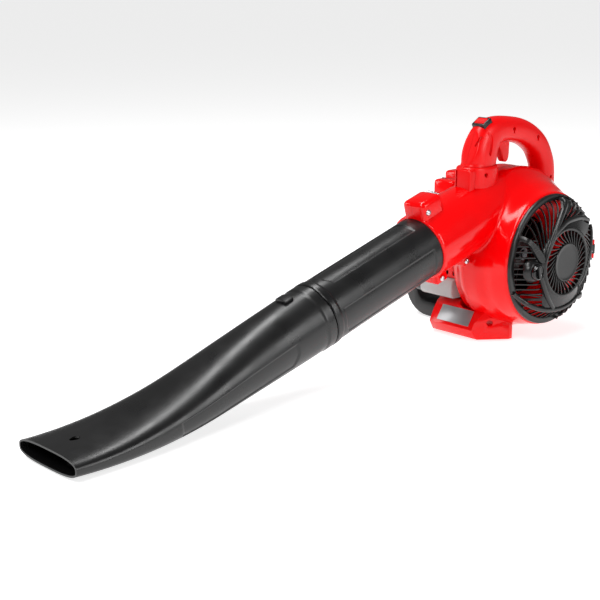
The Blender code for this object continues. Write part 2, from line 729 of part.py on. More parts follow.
def trigger_pin():
    reach = GRIP_RADIUS - HANDLE_WALL - 4.5 * MM
    return rod("trigger_pin", TRIGGER_PIVOT - X * reach, TRIGGER_PIVOT + X * reach, 2.2 * MM,
               "steel", sides=16)


def trigger_spring():
    turns, per_turn, radius = 3, 8, 3.4 * MM
    points = []
    for i in range(turns * per_turn + 1):
        angle = TAU * i / per_turn
        points.append(TRIGGER_PIVOT + X * (7.2 + 1.4 * i / per_turn) * MM
                      + Y * radius * math.cos(angle) + Z * radius * math.sin(angle))
    return wire("trigger_spring", points, 0.6 * MM, "steel")


def switch():
    bezel = switch_block("switch_bezel", 12 * MM, 10 * MM, -8 * MM, 3.2 * MM, "black_satin",
                         1.2 * MM)
    cut(bezel, switch_block("bezel_window", 9.3 * MM, 7.3 * MM, -12 * MM, 10 * MM))
    rocker = switch_block("switch_rocker", 9 * MM, 6.4 * MM, -4 * MM, 4.4 * MM, "red_satin",
                          1 * MM)
    return bezel, rocker


def collar():
    """The front seat of the handle, which the pillar drops into. It is trimmed to the neck."""
    rings = []
    for z, wide, deep in ((200, 26, 37), (245, 26, 37), (264, 25.5, 36.5),
                          (128 + COLLAR_TOP / MM, 24, 35)):
        rings.append(oval(at(0, -82, z), X, Y, wide * MM, deep * MM, 32, 2.3))
    seat = loft("handle_collar", rings, "red_satin")
    plate = block("collar_clip", at(-6, -122, 215), at(16, -112, 270), edge=1.5 * MM)
    join(seat, plate)
    hollow = loft("collar_hollow", [
        oval(at(0, -79.8, z), X, Y, 21 * MM, 32 * MM, 32, 2.3)
        for z in (195, 128 + COLLAR_TOP / MM + 5)
    ])
    cut(seat, hollow, neck_offset("collar_trim"), volute_body("collar_volute_trim", -2 * GAP))
    cut(seat, wire("collar_cable_hole", cable_points(), 3.2 * MM))
    return cut(seat, rod("collar_hole", at(15, -70, 250), at(40, -70, 250), 3 * MM, sides=16))


def neck_offset(name):
    return neck_body(name, inset=-2 * GAP)


def buffers():
    front = rod("front_buffer", at(0, -83, 225), at(0, -83, 261.4), 11 * MM, "rubber")
    cut(front, neck_offset("buffer_trim"))
    rear = rod("rear_buffer", at(0, 79, 205), at(0, 78, 262), 12 * MM, "rubber")
    cut(rear, volute_body("rear_buffer_trim", -2 * GAP))


# ---------------------------------------------------------------- engine

def engine_box(name, low, high, finish=None, edge=0.0, square=None):
    return block(name, by_fan(*low), by_fan(*high), finish, edge, square)


BEARING_RADIUS = 13 * MM
BEARING_WIDTH = 8 * MM


def crankcase():
    low_x, high_x = ENGINE_X - CASE_HALF_LENGTH, ENGINE_X + CASE_HALF_LENGTH
    case = engine_box("crankcase", (low_x, -30 * MM, -32 * MM),
                      (high_x, 30 * MM, CASE_TOP), "alloy", 4 * MM)
    seat = BEARING_RADIUS + GAP
    cut(
        case,
        rod("crank_room", by_fan(low_x + 10 * MM, 0, 0), by_fan(high_x - 10 * MM, 0, 0), 25 * MM,
            sides=32),
        rod("bearing_bores", by_fan(low_x - 5 * MM, 0, 0), by_fan(high_x + 5 * MM, 0, 0), seat),
        rod("case_mouth", by_fan(ENGINE_X, 0, 0), by_fan(ENGINE_X, 0, 40 * MM), BORE_RADIUS),
    )
    return case


def bearing(name, start_x):
    ring = rod(name, by_fan(start_x, 0, 0), by_fan(start_x + BEARING_WIDTH, 0, 0), BEARING_RADIUS,
               "steel")
    return cut(ring, rod(name + "_bore", by_fan(start_x - 5 * MM, 0, 0),
                         by_fan(start_x + 15 * MM, 0, 0), SHAFT_RADIUS + GAP))


def crankshaft():
    """A main shaft on each side of two webs, joined by the crank pin."""
    end = SHROUD_LEFT - 13 * MM
    shaft = rod("crankshaft", by_fan(ENGINE_X + 6 * MM, 0, 0),
                by_fan(HUB_FRONT + 12 * MM, 0, 0), SHAFT_RADIUS, "steel")
    webs = []
    for low, high in ((-10, -5), (5, 10)):
        web = extruded(f"web_{high}", [
            (FAN_BACK + u * MM, FAN_HEIGHT + v * MM)
            for u, v in ((-8, 22), (8, 22), (11, 4), (20, -6), (14, -18), (0, -23), (-14, -18),
                         (-20, -6), (-11, 4))
        ], ENGINE_X + low * MM, ENGINE_X + high * MM)
        webs.append(web)
    pin = rod("crank_pin", by_fan(ENGINE_X - 8 * MM, 0, 15 * MM),
              by_fan(ENGINE_X + 8 * MM, 0, 15 * MM), 5 * MM)
    far = rod("far_shaft", by_fan(end, 0, 0), by_fan(ENGINE_X - 6 * MM, 0, 0), SHAFT_RADIUS)
    return join(shaft, *webs, pin, far)


def flywheel():
    low, high = ENGINE_X + CASE_HALF_LENGTH + 0.5 * MM, -VOLUTE_BACK - 3 * MM
    wheel = rod("flywheel", by_fan(low, 0, 0), by_fan(high, 0, 0), FLYWHEEL_RADIUS, "alloy",
                sides=40)
    cut(wheel, rod("flywheel_bore", by_fan(low - 5 * MM, 0, 0), by_fan(high + 5 * MM, 0, 0),
                   SHAFT_RADIUS + GAP))
    for i in range(6):
        angle = TAU * i / 6
        hole = (17 * MM * math.cos(angle), 17 * MM * math.sin(angle))
        cut(wheel, rod(f"flywheel_hole_{i}", by_fan(low - 5 * MM, *hole),
                       by_fan(high + 5 * MM, *hole), 4 * MM, sides=12))
    return wheel


def cylinder_block():
    low, high = CASE_TOP + GAP, CYLINDER_TOP
    barrel = rod("cylinder", by_fan(ENGINE_X, 0, low), by_fan(ENGINE_X, 0, high),
                 BORE_RADIUS + 4.5 * MM, "alloy")
    pitch = (high - low - 8 * MM) / FINS
    for i in range(FINS):
        z = low + 4 * MM + pitch * (i + 0.5)
        fin = block(f"fin_{i}", by_fan(ENGINE_X - FIN_HALF, -FIN_HALF, z),
                    by_fan(ENGINE_X + FIN_HALF, FIN_HALF, z + 2 * MM))
        join(barrel, fin)
    axis = by_fan(ENGINE_X, 0, 0)
    cut(barrel, rod("cylinder_bore", axis + Z * (low - 5 * MM), axis + Z * (high - 8 * MM),
                    BORE_RADIUS),
        rod("plug_hole", axis + Z * (high - 20 * MM), axis + Z * (high + 5 * MM), 5.2 * MM))
    return barrel


def piston():
    axis = by_fan(ENGINE_X, 0, 0)
    low, high = CASE_TOP + 14 * MM, CYLINDER_TOP - 16 * MM
    body = rod("piston", axis + Z * low, axis + Z * high, BORE_RADIUS - GAP, "alloy")
    pin_z = Z * (low + 9 * MM)
    cut(body, rod("piston_hollow", axis + Z * (low - 5 * MM), axis + Z * (high - 4 * MM),
                  BORE_RADIUS - 3.5 * MM),
        rod("piston_pin_hole", axis + pin_z - Y * 20 * MM, axis + pin_z + Y * 20 * MM,
            3.5 * MM + GAP, sides=16))
    rod("piston_pin", axis + pin_z - Y * 15 * MM, axis + pin_z + Y * 15 * MM, 3.5 * MM,
        "steel", sides=16)


def spark_plug():
    base = by_fan(ENGINE_X, 0, CYLINDER_TOP + GAP)
    turned("spark_plug", [
        (0, 20 * MM), (2 * MM, 20 * MM), (2 * MM, 17 * MM), (4 * MM, 16 * MM), (4 * MM, 7.5 * MM),
        (8 * MM, 7 * MM), (8 * MM, 0), (4.8 * MM, 0), (4.8 * MM, -9 * MM), (0, -9 * MM),
    ], base, Z, "ceramic", 16)
    turned("plug_boot", [
        (0, 27 * MM), (6 * MM, 26.5 * MM), (8.5 * MM, 23 * MM), (8.5 * MM, 9 * MM),
        (5 * MM, 8.5 * MM), (4.3 * MM, 8.5 * MM), (4.3 * MM, 21 * MM), (0, 21 * MM),
    ], base, Z, "rubber", 20)


def ignition():
    x = ENGINE_X + CASE_HALF_LENGTH
    engine_box("ignition_coil", (x + 1 * MM, -48 * MM, -12 * MM),
                      (x + 9 * MM, -FLYWHEEL_RADIUS - 3 * MM, 12 * MM), "rubber", 1.5 * MM)
    route = [at(*p) for p in (
        (-48.5, -38, 140.6), (-48.5, -38, 145), (-48.8, -33, 151), (-49.2, -24, 158),
        (-49.4, -18, 175), (-49.4, -12, 200), (-50, -6, 220), (-57, -1.5, 231), (-69.2, 0, 232),
    )]
    wire("ignition_lead", smooth_path(route, 2), 1.7 * MM, "rubber")


THROTTLE_Y = -43 * MM
CARBURETTOR_UP = 65 * MM         # carburettor bore above the fan axis
PRIMER_UP = 77 * MM
FILTER_LOW = (-92, -75, 176)     # mm from the tube plane, the fan axis and the ground
FILTER_HIGH = (-53, -54.9, 239)
FUEL_HOSE = ((-80, -46, 85.3), (-80, -46, 120), (-80, -43, 160), (-80, -43, 177.7))


def engine_cover():
    """The red cowl over the cylinder, open below, with the intake and exhaust let through."""
    low = (SHROUD_LEFT, -30 * MM, CASE_TOP + GAP)
    high = (ENGINE_X + 33 * MM, 30 * MM, COVER_TOP)
    cover = engine_box("engine_cover", low, high, "red_gloss", 5 * MM, -Z)
    cut(
        cover,
        engine_box("cover_room", (low[0] + SHEET, low[1] + SHEET, low[2] - 9 * MM),
                   (high[0] - SHEET, high[1] - SHEET, high[2] - SHEET)),
        engine_box("intake_port", (ENGINE_X - 13 * MM, -40 * MM, 50 * MM),
                   (ENGINE_X + 13 * MM, -20 * MM, 80 * MM)),
        engine_box("exhaust_port", (ENGINE_X - 12 * MM, 20 * MM, 50 * MM),
                   (ENGINE_X + 12 * MM, 40 * MM, 76 * MM)),
    )
    for i in range(4):
        z = CASE_TOP + (20 + 13 * i) * MM
        cut(cover, engine_box(f"cover_slot_{i}", (low[0] - 5 * MM, -18 * MM, z),
                              (low[0] + 5 * MM, 18 * MM, z + 6 * MM)))
    return cover


def engine_shroud():
    """The red lower cowl: a louvred front, a floor-less body and a sill for the upper cover."""
    low = (SHROUD_LEFT, -SHROUD_FRONT, TANK_TOP + 1 * MM)
    high = (-VOLUTE_BACK - 2 * MM, 33 * MM, CASE_TOP + 4 * MM)
    shroud = engine_box("engine_shroud", low, high, "red_gloss", 3 * MM, -Z)
    cut(
        shroud,
        engine_box("shroud_room", (low[0] + SHEET, low[1] + SHEET, low[2] - 9 * MM),
                   (high[0] + 9 * MM, high[1] - SHEET, high[2] - SHEET)),
        engine_box("shroud_mouth", (low[0] + SHEET, -30 * MM + SHEET, 10 * MM),
                   (high[0] + 9 * MM, 30 * MM - SHEET, high[2] + 9 * MM)),
        rod("hose_hole", at(*FUEL_HOSE[2]) - Z * 10 * MM, at(*FUEL_HOSE[2]) + Z * 10 * MM,
            3.6 * MM, sides=16),
        rod("starter_hole", by_fan(low[0] - 5 * MM, 0, 0), by_fan(low[0] + 5 * MM, 0, 0), 14 * MM),
    )
    sill = engine_box("cover_seat", (low[0] - 9 * MM, -30 * MM - GAP, CASE_TOP),
                      (high[0] + 9 * MM, 30 * MM + GAP, 60 * MM))
    cut(shroud, sill)
    for column, (right, width, rows) in enumerate(((-36, 16, 3), (-60, 15, 3), (-83, 15, 3))):
        for row in range(rows):
            z = 90 + 10.5 * row
            cut(shroud, block(f"louvre_{column}_{row}", at(right - width, -SHROUD_FRONT / MM - 5, z),
                              at(right, -SHROUD_FRONT / MM + 5, z + 7)))
    return shroud


def intake():
    """Insulator, carburettor with its throttle, and the air filter, in line before the cylinder."""
    x = ENGINE_X
    insulator = engine_box("intake_insulator", (x - 12 * MM, -34.3 * MM, 52 * MM),
                           (x + 12 * MM, -FIN_HALF - GAP, 78 * MM), "rubber")
    cut(insulator, rod("insulator_bore", by_fan(x, -50 * MM, CARBURETTOR_UP), by_fan(x, 0, CARBURETTOR_UP),
                       8 * MM))
    body = engine_box("carburettor", (x - 14 * MM, -52 * MM, 50 * MM),
                      (x + 14 * MM, -34.6 * MM, 84 * MM), "alloy", 2 * MM)
    cut(
        body,
        rod("carburettor_bore", by_fan(x, -60 * MM, CARBURETTOR_UP), by_fan(x, 0, CARBURETTOR_UP), 8 * MM),
        rod("throttle_bore", by_fan(x - 30 * MM, THROTTLE_Y, CARBURETTOR_UP),
            by_fan(x + 30 * MM, THROTTLE_Y, CARBURETTOR_UP), 1.8 * MM + GAP, sides=12),
        rod("primer_pocket", by_fan(x - 20 * MM, THROTTLE_Y, PRIMER_UP),
            by_fan(x - 9 * MM, THROTTLE_Y, PRIMER_UP), 6 * MM + GAP, sides=20),
    )
    shaft = rod("throttle_shaft", by_fan(x - 13 * MM, THROTTLE_Y, CARBURETTOR_UP),
                by_fan(x + 18 * MM, THROTTLE_Y, CARBURETTOR_UP), 1.8 * MM, "steel", sides=12)
    join(
        shaft,
        rod("butterfly", by_fan(x, THROTTLE_Y - 0.6 * MM, CARBURETTOR_UP),
            by_fan(x, THROTTLE_Y + 0.6 * MM, CARBURETTOR_UP), 7.5 * MM),
        engine_box("throttle_arm", (x + 15 * MM, THROTTLE_Y - 2.5 * MM, 63 * MM),
                   (x + 17 * MM, THROTTLE_Y + 2.5 * MM, 77 * MM)),
    )
    bulb = turned("primer_bulb", [
        (0, 13 * MM), (3 * MM, 12.4 * MM), (5 * MM, 10.6 * MM), (6 * MM, 8 * MM), (6 * MM, 4.5 * MM),
        (4.6 * MM, 4.5 * MM), (4.6 * MM, 8 * MM), (0, 10.8 * MM),
    ], by_fan(x - 9 * MM, THROTTLE_Y, PRIMER_UP), -X, "rubber", 20)
    return insulator, body, shaft, bulb


def air_filter():
    low, high = FILTER_LOW, FILTER_HIGH
    base = block("filter_base", at(low[0], -54.6, low[2]), at(high[0], -52.3, high[2]),
                 "black_satin")
    cut(base, rod("filter_base_hole", by_fan(ENGINE_X, -60 * MM, CARBURETTOR_UP),
                  by_fan(ENGINE_X, -50 * MM, CARBURETTOR_UP), 8 * MM))
    block("filter_element", at(low[0] + 3, -66, low[2] + 3),
                    at(high[0] - 3, -54.9, high[2] - 3), "foam", 1 * MM)
    cover = block("filter_cover", at(*low), at(*high), "red_gloss", 5 * MM, Y)
    cut(cover, block("filter_room", at(low[0] + 2.5, low[1] + 2.5, low[2] + 2.5),
                     at(high[0] - 2.5, -45, high[2] - 2.5)))


CHOKE_PIVOT = (-81, -75.3, 214)


def choke_lever():
    x, y, z = CHOKE_PIVOT
    lever = extruded("choke_lever", [
        tuple(at(u, 0, v).xz) for u, v in ((x + 5, z - 4), (x + 5, z + 4), (x - 4, z + 5),
                                      (x - 21, z + 6), (x - 23, z + 3), (x - 21, z + 1),
                                      (x - 4, z - 5))
    ], FAN_BACK + (y - 2.4) * MM, FAN_BACK + y * MM, "Y", "steel")
    join(lever, rod("choke_boss", at(x, y, z), at(x, y - 4, z), 4 * MM, sides=16))
    return lever


def muffler():
    box = block("muffler", at(-103, 33.3, 168), at(-53, 60, 214), "alloy", 6 * MM)
    join(box, rod("exhaust_stub", by_fan(ENGINE_X, 26.5 * MM, 63 * MM),
                  by_fan(ENGINE_X, 40 * MM, 63 * MM), 9 * MM))
    cut(box, rod("exhaust_bore", by_fan(ENGINE_X, 20 * MM, 63 * MM),
                 by_fan(ENGINE_X, 50 * MM, 63 * MM), 6 * MM, sides=16))
    guard = block("muffler_guard", at(-107, 33.3, 165), at(-49, 67, 218), "black_satin", 4 * MM)
    cut(guard, block("guard_room", at(-104, 20, 167.5), at(-52, 64, 215.5)))
    for i in range(5):
        z = 173 + 8 * i
        cut(guard, block(f"guard_slot_{i}", at(-98, 60, z), at(-58, 70, z + 4.5)))


# ---------------------------------------------------------------- starter, tank and feet

ROPE_OUT = Vector((0, 0.62, 0.785))    # the way the starter rope is pulled
PULLEY_X = SHROUD_LEFT - GAP - STARTER_DEPTH / 2 - 2 * MM
ROPE_START = by_fan(PULLEY_X, ROPE_OUT.z * (PULLEY_RADIUS + 3 * MM),
                    -ROPE_OUT.y * (PULLEY_RADIUS + 3 * MM))
FILLER_AT = at(TANK_LEFT / MM, -58, 68)


def starter():
    """The recoil starter. It returns the pieces that move: pulley, rope and grip."""
    face = SHROUD_LEFT - GAP
    end = face - STARTER_DEPTH
    housing = turned("starter_housing", [
        (0, STARTER_DEPTH), (STARTER_RADIUS - 3 * MM, STARTER_DEPTH),
        (STARTER_RADIUS, STARTER_DEPTH - 3 * MM), (STARTER_RADIUS, 0), (STARTER_RADIUS - SHEET, 0),
        (STARTER_RADIUS - SHEET, STARTER_DEPTH - SHEET), (0, STARTER_DEPTH - SHEET),
    ], by_fan(face, 0, 0), -X, "black_satin", 32)
    for i in range(10):
        angle = TAU * (i + 0.3) / 10
        cut(housing, sector(f"starter_gap_{i}", 14 * MM, STARTER_RADIUS - 19 * MM, end - 5 * MM,
                            end + 5 * MM, angle, angle + TAU * 0.055, 2))
    way, start = by_fan(PULLEY_X, 0, 0), ROPE_START
    mouth = start + ROPE_OUT * 46 * MM
    cut(housing, rod("rope_hole", start + ROPE_OUT * 10 * MM, start + ROPE_OUT * 70 * MM,
                     3 * MM, sides=16))
    pulley = rod("starter_pulley", way - X * 3 * MM, way + X * 3 * MM, PULLEY_RADIUS,
                 "black_satin", sides=32)
    post = rod("pulley_bore", way - X * 20 * MM, way + X * 20 * MM, 5 * MM, sides=16)
    cut(pulley, post)
    turned("recoil_spring", [
        (PULLEY_RADIUS - 2 * MM, 4 * MM), (PULLEY_RADIUS - 2 * MM, 0),
        (PULLEY_RADIUS - 12 * MM, 0), (PULLEY_RADIUS - 12 * MM, 4 * MM),
    ], way - X * 8 * MM, X, "steel", 24)
    rope = rod("starter_rope", start + ROPE_OUT * 4 * MM, mouth - ROPE_OUT * GAP, 1.8 * MM,
               "rubber", sides=8)
    grip = rod("starter_grip", mouth, mouth + ROPE_OUT * 12 * MM, 6 * MM, "black_satin",
               end_radius=8 * MM, sides=16)
    bar = block("grip_bar", mouth + ROPE_OUT * 10 * MM - X * 14 * MM - Y * 6 * MM,
                mouth + ROPE_OUT * 10 * MM + X * 14 * MM + Y * 6 * MM + Z * 12 * MM, edge=4 * MM)
    join(grip, bar)
    return pulley, rope, grip


def fuel_tank():
    """The translucent tank with its feed hose and its cap, which is returned because it turns."""
    outline = [tuple(at(0, y, z).yz) for y, z in (
        (-80, 62), (-78, 57), (-73, 54), (-31, 52), (-29, 48), (-28, 37), (-22, 31), (52, 31), (58, 33),
        (60, 39), (60, 78), (57, 83), (50, 128 + TANK_TOP / MM), (-72, 128 + TANK_TOP / MM), (-78, 83),
        (-80, 79),
    )]
    tank = extruded("fuel_tank", outline, TANK_LEFT, -VOLUTE_BACK - 4 * MM, "X", "tank")
    rounder = tank.modifiers.new("round", "BEVEL")
    rounder.width = 3 * MM
    rounder.segments = 2
    rounder.limit_method = "ANGLE"
    rounder.angle_limit = math.radians(50)
    mouth = FILLER_AT
    join(tank, rod("filler_neck", mouth + X * 6 * MM, mouth - X * 9 * MM, 11 * MM, sides=24))
    cut(tank, rod("filler_bore", mouth + X * 30 * MM, mouth - X * 19 * MM, 8.5 * MM, sides=24))
    cap = turned("fuel_cap", [
        (0, 18 * MM), (CAP_OUTER - 4 * MM, 18 * MM), (CAP_OUTER * 0.8, 16 * MM),
        (CAP_OUTER * 0.8, 2 * MM), (11 * MM + GAP, 2 * MM), (11 * MM + GAP, 10 * MM),
        (0, 10 * MM),
    ], mouth, -X, "black_satin", 32)
    wire("fuel_hose", smooth_path([at(*p) for p in FUEL_HOSE], 4), 2.5 * MM, "rubber")
    return cap


def arc_points(centre, radius, start, end, steps):
    """Points on an arc, with its angles in degrees."""
    points = []
    for i in range(steps + 1):
        angle = math.radians(start + (end - start) * i / steps)
        points.append((centre[0] + radius * math.cos(angle), centre[1] + radius * math.sin(angle)))
    return points


def leg():
    """The black C-shaped stand on the engine side. It runs along the ground, up and back in."""
    t = LEG_THICKNESS
    bend = 48 * MM
    top = FAN_HEIGHT - 14 * MM
    left = LEG_REACH
    inner = bend - t
    right = -62 * MM
    starter_face = SHROUD_LEFT - 2 * GAP - STARTER_DEPTH
    outline = [(right, 0)]
    outline += arc_points((left + bend, bend), bend, 270, 180, 8)
    outline += arc_points((left + 20 * MM, top - 20 * MM), 20 * MM, 180, 90, 5)
    outline += [(starter_face, top), (starter_face, top - 18 * MM)]
    outline += arc_points((left + t + 6 * MM, top - 24 * MM), 6 * MM, 90, 180, 3)
    outline += arc_points((left + bend, bend), inner, 180, 270, 8)
    outline += [(right, t)]
    stand = extruded("leg", outline, FAN_BACK - LEG_FRONT, FAN_BACK + 30 * MM, "Y", "black_satin")
    return stand


def base_foot():
    """The red front foot: a sloping face over a flat sole, trimmed to the volute above it."""
    front = BASE_FRONT
    side = [(FAN_BACK + y, z) for y, z in (
        (-LEG_FRONT - GAP, 0), (-front, 0), (-front - 11 * MM, 16 * MM), (-front + 9 * MM, FOOT_TOP),
        (-front + 16 * MM, FOOT_TOP + 5 * MM), (-LEG_FRONT - GAP, FOOT_TOP + 5 * MM),
    )]
    foot = extruded("base_foot", side, -81 * MM, 40 * MM, "X", "red_gloss")
    plan = [(x * MM, FAN_BACK + y * MM) for x, y in (
        (-84, -20), (-84, -60), (-74, -120), (4, -120), (6, -83), (40, -40), (40, -20),
    )]
    keep(foot, extruded("foot_plan", plan, -10 * MM, 90 * MM, "Z"))
    cut(foot, volute_body("foot_trim", -2 * GAP),
        rod("foot_recess", at(34, -80, 26), at(14, -56, 26), 5 * MM, sides=20),
        block("foot_tank_room", at(-120, -81, 51.4), at(-41, 0, 90)))
    return foot


def rating_plate():
    """A blank metal plate on the foot's sloping face."""
    low = Vector((0, FAN_BACK - BASE_FRONT - 11 * MM, 16 * MM))
    high = Vector((0, FAN_BACK - BASE_FRONT + 9 * MM, FOOT_TOP))
    along = (high - low).normalized()
    out = X.cross(along) * -1
    if out.z < 0:
        out = -out
    plate = block("rating_plate", (-66 * MM, 5 * MM, GAP), (-3 * MM, 31 * MM, 1 * MM), "plate")
    frame = Matrix((
        (1, 0, 0, 0),
        (0, along.y, out.y, 0),
        (0, along.z, out.z, 0),
        (0, 0, 0, 1),
    ))
    frame.translation = low
    plate.data.transform(frame)
    return plate


clear_scene()
parts = new_collection("leaf_blower")
cutters = new_collection("cutters")

housing_half("housing_intake_half", GAP / 2, 500 * MM)
housing_half("housing_engine_half", -500 * MM, -GAP / 2)
for fastener in SCREWS:
    screw(fastener)
inlet_cone()
wire("throttle_cable", cable_points(), 2.4 * MM, "rubber")
hinge_pin()
upper_tube()
handle_half("handle_left", -100 * MM, -GAP / 2)
handle_half("handle_right", GAP / 2, 100 * MM)
trigger_pin()
trigger_spring()
collar()
buffers()
crankcase()
bearing("bearing_fan_side", ENGINE_X + CASE_HALF_LENGTH - BEARING_WIDTH - 1 * MM)
bearing("bearing_starter_side", ENGINE_X - CASE_HALF_LENGTH + 1 * MM)
cylinder_block()
piston()
spark_plug()
ignition()
engine_cover()
engine_shroud()
air_filter()
muffler()
leg()
base_foot()
rating_plate()

throttle_shaft, primer_bulb = intake()[2:]
starter_pulley, starter_rope, starter_grip = starter()
pivot("fan_spin", by_fan(0, 0, 0), impeller(), impeller_nut(), crankshaft(), flywheel())
pivot("trigger_pull", TRIGGER_PIVOT, trigger())
pivot("throttle_turn", by_fan(ENGINE_X, THROTTLE_Y, CARBURETTOR_UP), throttle_shaft)
pivot("primer_press", by_fan(ENGINE_X, THROTTLE_Y, PRIMER_UP), primer_bulb)
pivot("choke_swing", at(*CHOKE_PIVOT), choke_lever())
pivot("switch_rock", SWITCH_AT, switch()[1])
grille_open = pivot("grille_open", hinge_point(0), grille_cover())
pivot("knob_turn", by_fan(GRILLE_LIP, *KNOB), grille_knob(), carried_by=grille_open)
pivot("nozzle_twist", by_tube(JOINT_AT), nozzle_tube())
pivot("pulley_turn", by_fan(PULLEY_X, 0, 0), starter_pulley)
pivot("starter_pull", ROPE_START, starter_rope, starter_grip)
pivot("fuel_cap_turn", FILLER_AT, fuel_tank())
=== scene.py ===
import json
import math

import bpy
from mathutils import Matrix, Vector


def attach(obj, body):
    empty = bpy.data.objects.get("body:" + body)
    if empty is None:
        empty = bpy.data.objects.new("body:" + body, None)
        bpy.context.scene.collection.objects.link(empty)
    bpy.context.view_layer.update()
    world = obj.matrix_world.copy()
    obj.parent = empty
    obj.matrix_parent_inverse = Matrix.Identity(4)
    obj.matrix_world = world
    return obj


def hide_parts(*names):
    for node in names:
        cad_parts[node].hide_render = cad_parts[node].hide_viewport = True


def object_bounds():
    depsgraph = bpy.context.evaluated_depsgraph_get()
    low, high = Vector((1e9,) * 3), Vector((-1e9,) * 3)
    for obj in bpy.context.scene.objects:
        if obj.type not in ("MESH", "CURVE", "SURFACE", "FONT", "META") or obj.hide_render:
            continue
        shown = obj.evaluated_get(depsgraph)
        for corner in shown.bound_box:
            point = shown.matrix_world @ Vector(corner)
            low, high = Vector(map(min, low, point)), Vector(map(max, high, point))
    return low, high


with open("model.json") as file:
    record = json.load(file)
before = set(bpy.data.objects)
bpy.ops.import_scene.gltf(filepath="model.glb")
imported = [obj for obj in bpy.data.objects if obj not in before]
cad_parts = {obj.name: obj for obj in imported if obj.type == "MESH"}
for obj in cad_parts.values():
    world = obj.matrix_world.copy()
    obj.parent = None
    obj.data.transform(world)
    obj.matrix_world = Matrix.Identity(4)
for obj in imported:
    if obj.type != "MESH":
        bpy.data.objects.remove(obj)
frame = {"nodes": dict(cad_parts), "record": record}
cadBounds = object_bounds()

mm = 0.001
gap = 0.3 * mm
right, back, up = Vector((1, 0, 0)), Vector((0, 1, 0)), Vector((0, 0, 1))
fanBack = 56 * mm      # fan axis behind the origin
fanHeight = 128 * mm   # and above the ground


def byFan(x, y, z):
    # millimetres from the tube plane and the fan axis
    return Vector((x * mm, fanBack + y * mm, fanHeight + z * mm))


def at(x, y, z):
    # millimetres from the tube plane, the fan axis and the ground
    return Vector((x * mm, fanBack + y * mm, z * mm))


# tube axis: it leans down to the front
tilt = math.radians(16.5)
tubeDir = Vector((0, -math.cos(tilt), -math.sin(tilt)))
tubeUp = Vector((0, -math.sin(tilt), math.cos(tilt)))
tubeFoot = byFan(0, 0, 0) + tubeUp * 94.5 * mm


def byTube(along, rise=0.0, side=0.0):
    return tubeFoot + (tubeDir * along + tubeUp * rise + right * side) * mm


# ---- camera and light

def addCamera():
    camera = {"place": (1.2210, -1.5410, 0.574), "azimuth": 46.71, "elevation": 14.86, "lens": 77.74}
    azimuth, elevation = math.radians(camera["azimuth"]), math.radians(camera["elevation"])
    across = Vector((math.cos(azimuth), math.sin(azimuth), 0))
    behind = Vector((math.sin(azimuth) * math.cos(elevation),
                     -math.cos(azimuth) * math.cos(elevation), math.sin(elevation)))
    data = bpy.data.cameras.new("camera")
    data.lens = camera["lens"]
    data.sensor_width = 36
    eye = bpy.data.objects.new("camera", data)
    bpy.context.scene.collection.objects.link(eye)
    turn = Matrix((across, behind.cross(across), behind)).transposed().to_4x4()
    turn.translation = Vector(camera["place"])
    eye.matrix_world = turn
    bpy.context.scene.camera = eye


def addLight(name, place, size, power, aim=(0, -0.25, 0.15)):
    data = bpy.data.lights.new(name, "AREA")
    data.shape = "RECTANGLE"
    data.size, data.size_y = size
    data.energy = power
    lamp = bpy.data.objects.new(name, data)
    bpy.context.scene.collection.objects.link(lamp)
    lamp.location = place
    lamp.rotation_euler = (Vector(aim) - Vector(place)).to_track_quat("-Z", "Y").to_euler()


def addStage():
    studio = {"floor": 90.0, "world": 0.16, "glow": 0.72}
    bpy.context.scene.view_settings.view_transform = "Standard"
    world = bpy.data.worlds.new("studio")
    bpy.context.scene.world = world
    world.use_nodes = True
    sky = world.node_tree.nodes["Background"]
    sky.inputs["Color"].default_value = (1, 1, 1, 1)
    sky.inputs["Strength"].default_value = studio["world"]
    deselect()
    bpy.ops.mesh.primitive_plane_add(size=studio["floor"], location=(0, 0, cadBounds[0][2] - 0.0004))
    floor = bpy.context.object
    floor.name = "floor"
    pale = bpy.data.materials.new("paleFloor")
    pale.use_nodes = True
    shader = pale.node_tree.nodes["Principled BSDF"]
    shader.inputs["Base Color"].default_value = (0.72, 0.72, 0.72, 1)
    shader.inputs["Roughness"].default_value = 0.65
    shader.inputs["Specular IOR Level"].default_value = 0.2
    shader.inputs["Emission Color"].default_value = (1, 1, 1, 1)
    shader.inputs["Emission Strength"].default_value = studio["glow"]
    floor.data.materials.append(pale)
    addLight("keySoftbox", (0.9, -2.3, 2.1), (1.0, 0.7), 34)
    addLight("topSoftbox", (-0.5, -0.5, 2.3), (2.4, 0.5), 44)
    addLight("sideSoftbox", (2.6, 0.7, 1.2), (0.7, 1.6), 30)
    addLight("leftStrip", (-2.2, -1.4, 1.0), (0.4, 1.3), 9)


# ---- making things

def deselect():
    if bpy.context.mode != "OBJECT":
        bpy.ops.object.mode_set(mode="OBJECT")
    bpy.ops.object.select_all(action="DESELECT")


def activate(piece):
    deselect()
    piece.select_set(True)
    bpy.context.view_layer.objects.active = piece


def settle(piece):
    # the place goes into the mesh, and the object stays at the origin
    activate(piece)
    bpy.ops.object.transform_apply(location=True, rotation=True, scale=True)
    return piece


def applyAll(piece):
    activate(piece)
    for modifier in list(piece.modifiers):
        bpy.ops.object.modifier_apply(modifier=modifier.name)
    return piece


def editAll(piece):
    activate(piece)
    bpy.ops.object.mode_set(mode="EDIT")
    bpy.ops.mesh.select_all(action="SELECT")


def facesOut(piece, merge=1e-6):
    editAll(piece)
    bpy.ops.mesh.remove_doubles(threshold=merge)
    bpy.ops.mesh.select_all(action="SELECT")
    bpy.ops.mesh.normals_make_consistent(inside=False)
    bpy.ops.object.mode_set(mode="OBJECT")
    return piece


def smooth(piece, angle=32):
    activate(piece)
    bpy.ops.object.shade_smooth_by_angle(angle=math.radians(angle))
    return piece


